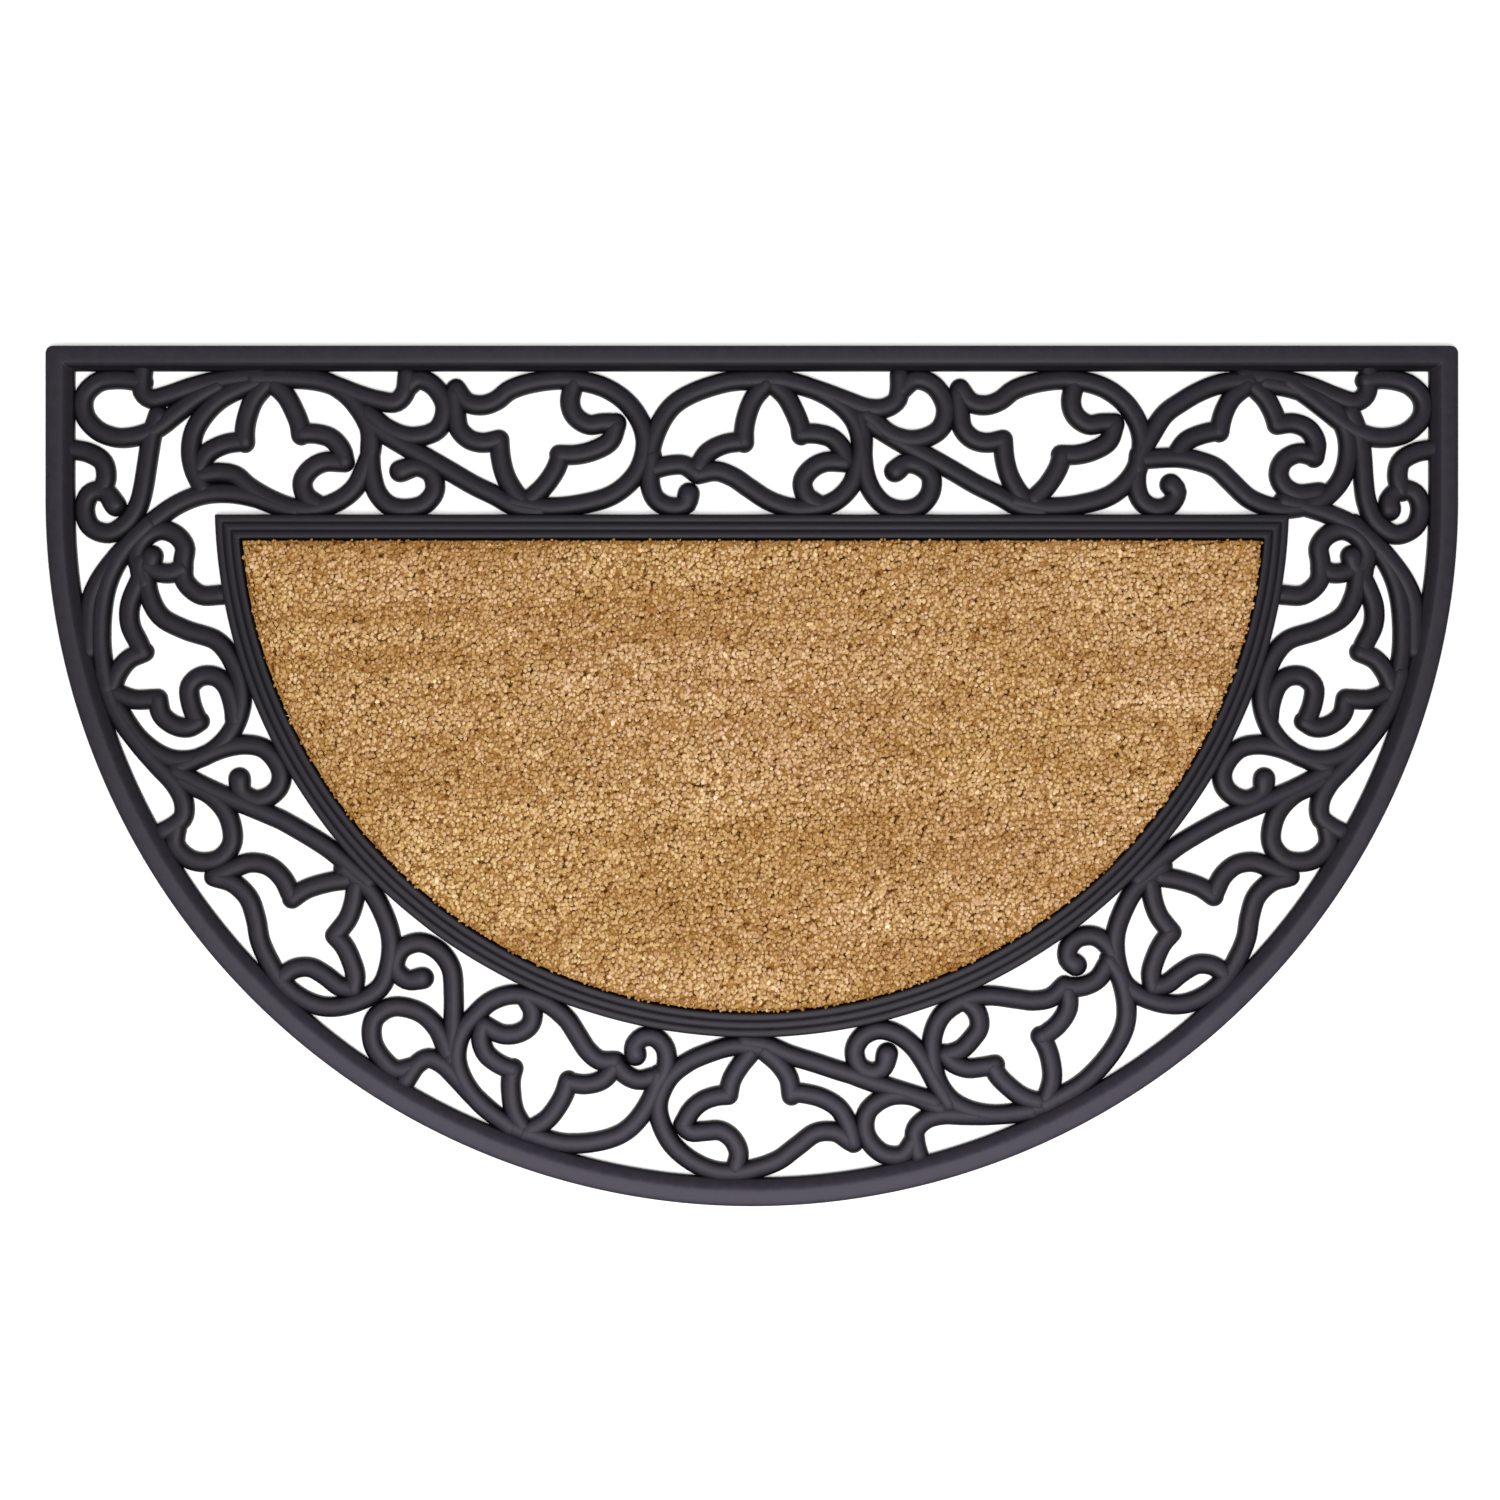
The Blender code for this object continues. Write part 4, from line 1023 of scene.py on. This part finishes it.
def pile_height(x, y):
    """Top of the pile = pad height - pit + fine noise + the tuft's own height - the drop at the edge."""
    distance, _, _, tuft_tone = nearest_tuft(x, y)
    fine = soft_noise(x + 500, y + 500, FINE_PITCH) - 0.5
    drop = EDGE_DROP * np.exp(-np.maximum(edge_distance(x, y), 0.0) / EDGE_DROP_WIDTH)
    depth = PIT_DEPTH * pit(x, y, distance)
    return PAD_HEIGHT - BELOW_TOP - depth + FINE_HEIGHT * fine + TUFT_HEIGHT * (tuft_tone - 0.5) - drop


def make_pad():
    """x runs across, y = arc + v * (edge - arc) on each column, z = pile height; then walls and underside."""
    across = np.linspace(-1.0, 1.0, PAD_COLUMNS) * PAD_HALF_WIDTH * JUST_INSIDE
    arc_y = -np.sqrt(PAD_RADIUS ** 2 - across ** 2)
    share = np.linspace(0.0, 1.0, PAD_ROWS)
    x = np.repeat(across[:, None], PAD_ROWS, axis=1)
    y = arc_y[:, None] + share[None, :] * (PAD_EDGE_Y - arc_y)[:, None]
    z = pile_height(x, y) - GROUND_DEPTH
    number = np.arange(x.size).reshape(x.shape)
    quads = np.stack([number[:-1, :-1], number[1:, :-1], number[1:, 1:], number[:-1, 1:]], axis=-1)
    edge_loop = np.concatenate([number[:, 0], number[-1, 1:], number[-2::-1, -1], number[0, -2:0:-1]])
    top = np.column_stack([x.ravel(), y.ravel(), z.ravel()])
    foot = top[edge_loop].copy()
    foot[:, 2] = PAD_FOOT
    foot_ring = len(top) + np.arange(len(foot))
    walls = np.column_stack([foot_ring, np.roll(foot_ring, -1), np.roll(edge_loop, -1), edge_loop])
    fan = fan_faces(foot_ring, len(top) + len(foot), underneath=True)
    points = np.vstack([top, foot, (0.0, PAD_EDGE_Y - FAN_MIDDLE, PAD_FOOT)])
    pad = make_piece("coir_pad_body", points, [quads.reshape(-1, 4), walls, fan], COIR)
    distance, _, _, tuft_tone = nearest_tuft(points[:, 0], points[:, 1])
    deep = pit(points[:, 0], points[:, 1], distance)
    # The ground is painted darker in the pits, as painted shade.
    tone = GROUND_TONE - GROUND_TONE * deep + TUFT_SHADE * (tuft_tone - 0.5)
    store_colours(pad, tone, GROUND_HUE + GROUND_HUE * tuft_tone)
    return pad


pad = make_pad()

# %% [markdown]
# ## Where the clumps stand
# Fibres in a tuft hold together in small clumps, two or three millimetres across, which show as the crisp
# beads of the pile. Places picked quite at random would leave bare spots and heaps. So they come from rows
# that are shifted by turns and then shaken, and each is drawn in towards its tuft's middle. Most of those
# in a pit are left out, so the dark ground shows there. At the pad's edge, pile leans out a little over the
# trim.

# %% Places and leans
CLUMP_PITCH = 2.2
CLUMP_ROWS = 2.65
CLUMP_SHAKE = 0.4
FIRST_ROW = 0.8
DRAWN_IN = 0.60
DRAWN_LIMIT = 0.8
CLUMP_MARGIN = 0.3
LOST_ANYWHERE = 0.03
LOST_IN_PITS = 0.95
LEAN_START = 0.5
LEAN_FADE = 1.4


def clump_places():
    """Odd rows are shifted by half a pitch, each place is shaken, then drawn in towards its tuft's middle."""
    rows, columns = int(2 * PAD_RADIUS / CLUMP_ROWS), int(2 * PAD_HALF_WIDTH / CLUMP_PITCH) + 2
    row, column = np.meshgrid(np.arange(rows), np.arange(columns), indexing="ij")
    x = (column + 0.5 * (row % 2)) * CLUMP_PITCH - PAD_HALF_WIDTH
    y = PAD_EDGE_Y - FIRST_ROW - row * CLUMP_ROWS
    x = (x + rng.uniform(-CLUMP_SHAKE, CLUMP_SHAKE, x.shape) * CLUMP_PITCH).ravel()
    y = (y + rng.uniform(-CLUMP_SHAKE, CLUMP_SHAKE, y.shape) * CLUMP_ROWS).ravel()
    distance, away_x, away_y, _ = nearest_tuft(x, y)
    inwards = DRAWN_IN * np.minimum(distance, DRAWN_LIMIT) ** 3
    x, y = x - inwards * away_x, y - inwards * away_y
    lost = LOST_ANYWHERE + LOST_IN_PITS * pit(x, y, distance)
    kept = (edge_distance(x, y) > CLUMP_MARGIN) & (rng.uniform(0.0, 1.0, len(x)) > lost)
    x, y = x[kept], y[kept]
    across = np.argsort(x)
    return x[across], y[across]


def outward_lean(x, y, reach):
    """Near the edge a fibre leans out: along the radius on the arc, and along y on the straight edge."""
    near_edge = np.exp(-np.maximum(edge_distance(x, y) - LEAN_START, 0.0) / LEAN_FADE)
    on_arc = PAD_RADIUS - np.hypot(x, y) < PAD_EDGE_Y - y
    lean_x = near_edge * np.where(on_arc, x / PAD_RADIUS, 0.0) * reach
    lean_y = near_edge * np.where(on_arc, y / PAD_RADIUS, 1.0) * reach
    return lean_x, lean_y


def random_lean(x, y, tuft_way, reach, least, outwards):
    """Any heading by a share of the reach, plus a part of the way from the tuft's middle, plus outwards."""
    heading = rng.uniform(0.0, 2 * np.pi, len(x))
    amount = reach * rng.uniform(least, 1.0, len(x))
    out_x, out_y = outward_lean(x, y, outwards)
    return np.column_stack([
        amount * np.cos(heading) + tuft_way[0] + out_x,
        amount * np.sin(heading) + tuft_way[1] + out_y,
    ])


def lifted(flat, z):
    """Give each row of flat corners one height."""
    return np.concatenate([flat, np.broadcast_to(z[:, None, None], (*flat.shape[:2], 1))], axis=2)


clump_x, clump_y = clump_places()
print("clumps:", len(clump_x))

# %% [markdown]
# ## Clumps as leaning stubs
# A clump is a stub with five corners, narrower at its top, that ends in a low dome. Smooth shading rounds
# it, so eighteen triangles are enough, where a ball would take many more. Pile that is walked on has a nap,
# so all stubs lean a little to the front right besides their own random lean. Those at the edge have no
# nap, and are darker and slimmer. The stubs of each third of the pad are one piece.

# %% The clumps of each third
NAP = np.array((0.75, -0.75))
SIDES = 5
STUB_CORNERS = np.arange(SIDES) * 2 * np.pi / SIDES
STUB_FACES = np.array(
    [(k, (k + 1) % SIDES, SIDES + (k + 1) % SIDES) for k in range(SIDES)]
    + [(k, SIDES + (k + 1) % SIDES, SIDES + k) for k in range(SIDES)]
    + [(SIDES + k, SIDES + (k + 1) % SIDES, 2 * SIDES) for k in range(SIDES)]
    + [(0, k + 1, k) for k in range(1, SIDES - 1)]
)
CLUMP_LEAN = 0.7
CLUMP_LEAST = 0.1
CLUMP_OUTWARDS = 0.7
CLUMP_WAY = 0.08
EDGE_FADE = 1.8
TOP_VARIES = (-0.50, 0.30)
WIDTH_VARIES = (1.00, 1.60)
SLIMMER_AT_EDGE = 0.4
SLIMMER_IN_PIT = 0.6
NARROWS_TO = (0.70, 0.95)
LONGWAYS = (np.pi / 3, 0.5)
STRETCH = (0.10, 0.60)
STUB_DEPTH = 2.8
TIP_LEAN = 1.15
TIP_RISE = 0.30
CLUMP_TONE = (0.592, 0.076)
# Clumps in a pit are painted darker, as painted shade.
PAINTED_PIT_SHADE = 0.82
EDGE_SHADE = 0.32
# Each stub is painted darker at its foot and a hair lighter at its tip: painted shade and painted highlight.
PAINTED_STUB_SHADE = np.array([-0.12] * SIDES + [-0.02] * SIDES + [0.01])
CLUMP_HUE = (0.50, 0.24)
HUE_PATCHES = 0.45
HUE_PITCH = 60.0
EDGE_HUE = 0.4


def clump_stubs(name, x, y):
    """Corner = place + radius * (cos, sin), stretched one way; the top is narrower and moved by the lean."""
    distance, away_x, away_y, tuft_tone = nearest_tuft(x, y)
    count = len(x)
    at_edge = np.exp(-edge_distance(x, y) / EDGE_FADE)
    tuft_way = (CLUMP_WAY * away_x, CLUMP_WAY * away_y)
    lean = random_lean(x, y, tuft_way, CLUMP_LEAN, CLUMP_LEAST, CLUMP_OUTWARDS)
    lean = (lean + NAP * (1.0 - at_edge[:, None]))[:, None]
    top = pile_height(x, y) + rng.uniform(*TOP_VARIES, count)
    deep = pit(x, y, distance)
    wide = CLUMP_PITCH * 0.5 * rng.uniform(*WIDTH_VARIES, count) * (1.0 - SLIMMER_AT_EDGE * at_edge)
    wide = wide * (1.0 - SLIMMER_IN_PIT * deep)
    narrow = wide * rng.uniform(*NARROWS_TO, count)
    turn = rng.uniform(0.0, 2 * np.pi, count)[:, None] + STUB_CORNERS[None, :]
    longways = rng.normal(*LONGWAYS, count)[:, None]
    stretch = rng.uniform(*STRETCH, count)[:, None]
    share = np.cos(turn - longways)
    ring = np.stack([np.cos(turn) + stretch * np.cos(longways) * share,
                     np.sin(turn) + stretch * np.sin(longways) * share], axis=-1)
    place = np.column_stack([x, y])[:, None]
    low = lifted(place + ring * wide[:, None, None], top - STUB_DEPTH)
    high = lifted(place + lean + ring * narrow[:, None, None], top)
    tip = lifted(place + TIP_LEAN * lean, top + TIP_RISE)
    points = np.concatenate([low, high, tip], axis=1)
    corners = points.shape[1]
    faces = (corners * np.arange(count)[:, None, None] + STUB_FACES).reshape(-1, 3)
    piece = make_piece(name, points.reshape(-1, 3), [faces], COIR)
    # Clumps in a pit are painted darker here, as painted shade.
    own = rng.normal(*CLUMP_TONE, count) - PAINTED_PIT_SHADE * deep + TUFT_SHADE * (tuft_tone - 0.5)
    # The corner tones add painted shade at each stub's foot and a faint painted highlight at its tip.
    tone = (own + pile_shade(x, y) - EDGE_SHADE * at_edge)[:, None] + PAINTED_STUB_SHADE
    patches = HUE_PATCHES * (soft_noise(x / 2 + 400, y + 400, HUE_PITCH) - 0.5)
    hue = rng.normal(*CLUMP_HUE, count) + patches - EDGE_HUE * at_edge
    store_colours(piece, tone.ravel(), np.repeat(hue, corners))
    return piece


clumps = []
for third, side in enumerate(("left", "middle", "right")):
    some = slice(int(len(clump_x) * third / 3), int(len(clump_x) * (third + 1) / 3))
    clumps.append(clump_stubs("coir_clumps_" + side, clump_x[some], clump_y[some]))

# %% [markdown]
# ## Standing fibres
# Single fibre ends stand out of the clumps all over the pad, and longer, paler ones lie over in faint rows.
# A hair system could grow them, but it would not export as a mesh. Each is drawn as the simplest closed
# solid, a long thin pyramid on three corners, because at this size only its lean and its tone show. All of
# them are worked out at once, as arrays with one row for each fibre.

# %% Fibres as thin pyramids
FIBRE_WAY = 0.18
FIBRE_LEAST = 0.15
FIBRE_OUTWARDS = 1.0
FIBRE_MARGIN = 0.5
ROW_STRETCH = 7.0
ROW_PITCH = 5.0
ROW_CONTRAST = 3.0
ROW_START = 1.7
ROOT_DEPTH = 1.2
MOST_ABOVE = 1.2
LENGTH_VARIES = (0.7, 1.1)
RADIUS_VARIES = (0.75, 1.3)
FIBRE_TUFT_SHADE = 0.12
FIBRE_PAINTED_PIT_SHADE = 0.20
FOOT_TURNS = np.radians((0, 120, 240))
PYRAMID_FACES = np.array([(0, 1, 3), (1, 2, 3), (2, 0, 3), (0, 2, 1)])


def scattered_points(count, margin):
    """Random places on the pad: more than enough in its box, then those inside the outline by the margin."""
    x = rng.uniform(-PAD_HALF_WIDTH, PAD_HALF_WIDTH, 2 * count)
    y = rng.uniform(-PAD_RADIUS, PAD_EDGE_Y, 2 * count)
    inside = edge_distance(x, y) > margin
    return x[inside][:count], y[inside][:count]


def fibre_pyramids(name, count, length, lean, radius, tones, in_rows=0.0):
    """Foot corners = place + radius * (cos, sin) at three turns; tip = place + lean, and the length above."""
    x, y = scattered_points(count, FIBRE_MARGIN)
    in_row = soft_noise(x / ROW_STRETCH + 300, y + 300, ROW_PITCH) * ROW_CONTRAST - ROW_START
    in_row = np.clip(in_row, 0.0, 1.0)
    kept = rng.uniform(0.0, 1.0, len(x)) > in_rows * (1.0 - in_row)
    x, y = x[kept], y[kept]
    distance, away_x, away_y, tuft_tone = nearest_tuft(x, y)
    tuft_way = (FIBRE_WAY * away_x, FIBRE_WAY * away_y)
    leans = random_lean(x, y, tuft_way, lean, FIBRE_LEAST, FIBRE_OUTWARDS)
    root_z = pile_height(x, y) - ROOT_DEPTH
    tip_z = np.minimum(root_z + length * rng.uniform(*LENGTH_VARIES, len(x)), PAD_HEIGHT + MOST_ABOVE)
    spin = rng.uniform(0.0, 2 * np.pi, len(x))[:, None] + FOOT_TURNS[None, :]
    thick = (radius * rng.uniform(*RADIUS_VARIES, len(x)))[:, None, None]
    place = np.column_stack([x, y])[:, None]
    foot = lifted(place + thick * np.stack([np.cos(spin), np.sin(spin)], axis=-1), root_z)
    tip = lifted(place + leans[:, None], tip_z)
    points = np.concatenate([foot, tip], axis=1)
    corners = points.shape[1]
    faces = (corners * np.arange(len(x))[:, None, None] + PYRAMID_FACES).reshape(-1, 3)
    piece = make_piece(name, points.reshape(-1, 3), [faces], COIR)
    own = rng.uniform(*tones, len(x)) + FIBRE_TUFT_SHADE * (tuft_tone - 0.5)
    # Fibres in a pit are painted darker, as painted shade.
    tone = own - FIBRE_PAINTED_PIT_SHADE * pit(x, y, distance) + pile_shade(x, y)
    store_colours(piece, np.repeat(tone, corners), np.repeat(rng.uniform(0.0, 1.0, len(x)), corners))
    return piece


fibres = [
    fibre_pyramids("coir_fibres_short", 24000, length=1.9, lean=1.0, radius=0.36, tones=(0.40, 0.78)),
    fibre_pyramids("coir_fibres_long", 14000, length=2.4, lean=2.0, radius=0.44, tones=(0.84, 1.20),
                   in_rows=0.84),
]

# %% [markdown]
# ## The pieces stand for the solids
# The strands, rim and trim stand for the rubber solid, and the pad with its fibres stands for the coir
# solid. The solids stay in the physics model and are only hidden here. The coir is a sheet of pile goods:
# it is cut flat to the shape of the tray, and it lies there.

# %% Bodies, and the solids hidden
for piece in (rim, trim, scrolls_straight, scrolls_round):
    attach(piece, "root")
    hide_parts("rubber_frame")
for piece in [pad] + clumps + fibres:
    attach(piece, "root")
    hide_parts("coir_pad")

# %% [markdown]
# ## The floor
# The mat is photographed on a bright white floor. A plane that is much wider than the picture is enough,
# and it lies a hair below the mat so that the two never share a plane. It is no part of the mat, so it is
# not attached to the mat's body.

# %% A white floor
FLOOR_HALF = 6.0
FLOOR_BELOW = 0.0004
FLOOR_WHITES = ((0.3, (0.90, 0.90, 0.905)), (0.7, (0.92, 0.92, 0.92)))


def floor_material():
    """A bright matt white with the faintest unevenness."""
    material, tree, shader, place = plain_material("white_floor", specular=0.1, roughness=0.95)
    white = colour_ramp(tree, noise(tree, place, scale=2.0, detail=2.0), FLOOR_WHITES)
    tree.links.new(white, shader.inputs["Base Color"])
    return material


floor_mesh = bpy.data.meshes.new("floor")
floor_corners = [(FLOOR_HALF * x, FLOOR_HALF * y, 0.0) for x, y in ((-1, -1), (1, -1), (1, 1), (-1, 1))]
floor_mesh.from_pydata(floor_corners, [], [(0, 1, 2, 3)])
floor_mesh.materials.append(floor_material())
floor = add_object("floor", floor_mesh)
floor.location.z = -FLOOR_BELOW
print("floor:", 2 * FLOOR_HALF, "m wide")

# %% [markdown]
# ## The light
# The photo has soft, nearly even light, with the round edge a little brighter than the straight one. One
# broad lamp hangs over the front of the mat and faces its middle, and a white sky fills in. More lamps
# could be set round the mat, but these two give the same soft crests and leave less to adjust.

# %% A soft lamp and a white sky
SKY = 0.75
LAMP_POWER = 60.0
LAMP_SIZE = 1.3
LAMP_PLACE = (0.0, -0.50, 2.35)

world = bpy.data.worlds.new("studio")
world.use_nodes = True
world.node_tree.nodes["Background"].inputs["Color"].default_value = (1.0, 1.0, 1.0, 1.0)
world.node_tree.nodes["Background"].inputs["Strength"].default_value = SKY
bpy.context.scene.world = world

lamp = bpy.data.lights.new("over_the_front", "AREA")
lamp.shape = "SQUARE"
lamp.size = LAMP_SIZE
lamp.energy = LAMP_POWER
light = add_object("over_the_front", lamp)
light.location = LAMP_PLACE
towards = -np.array(LAMP_PLACE) / np.linalg.norm(LAMP_PLACE)
light.rotation_euler = (np.arccos(-towards[2]), 0.0, np.arctan2(towards[1], towards[0]) - np.pi / 2)
light.visible_camera = False
print("sky", SKY, "and one soft light of", LAMP_POWER)

# %% [markdown]
# ## The camera
# The photo is taken straight from above, with the mat nearly as wide as the picture. A camera's lens and
# its sensor give the width that it sees at a distance, so the lens follows from the height of the camera
# and the width of the view. That width is measured 8 mm above the floor, near the tops of the strands and
# the rim.

# %% A camera straight above
CAMERA_HEIGHT = 2.0
VIEW_LEVEL = 0.008
VIEW_WIDTH = 0.9703
VIEW_MIDDLE = (-0.0012, 0.0168)
SENSOR = 36.0

camera_data = bpy.data.cameras.new("from_above")
camera_data.sensor_width = SENSOR
camera_data.lens = SENSOR * (CAMERA_HEIGHT - VIEW_LEVEL) / VIEW_WIDTH
camera = add_object("from_above", camera_data)
camera.location = (*VIEW_MIDDLE, CAMERA_HEIGHT)
bpy.context.scene.camera = camera
bpy.context.scene.view_settings.view_transform = "Standard"
print("lens:", round(camera_data.lens, 1), "mm")
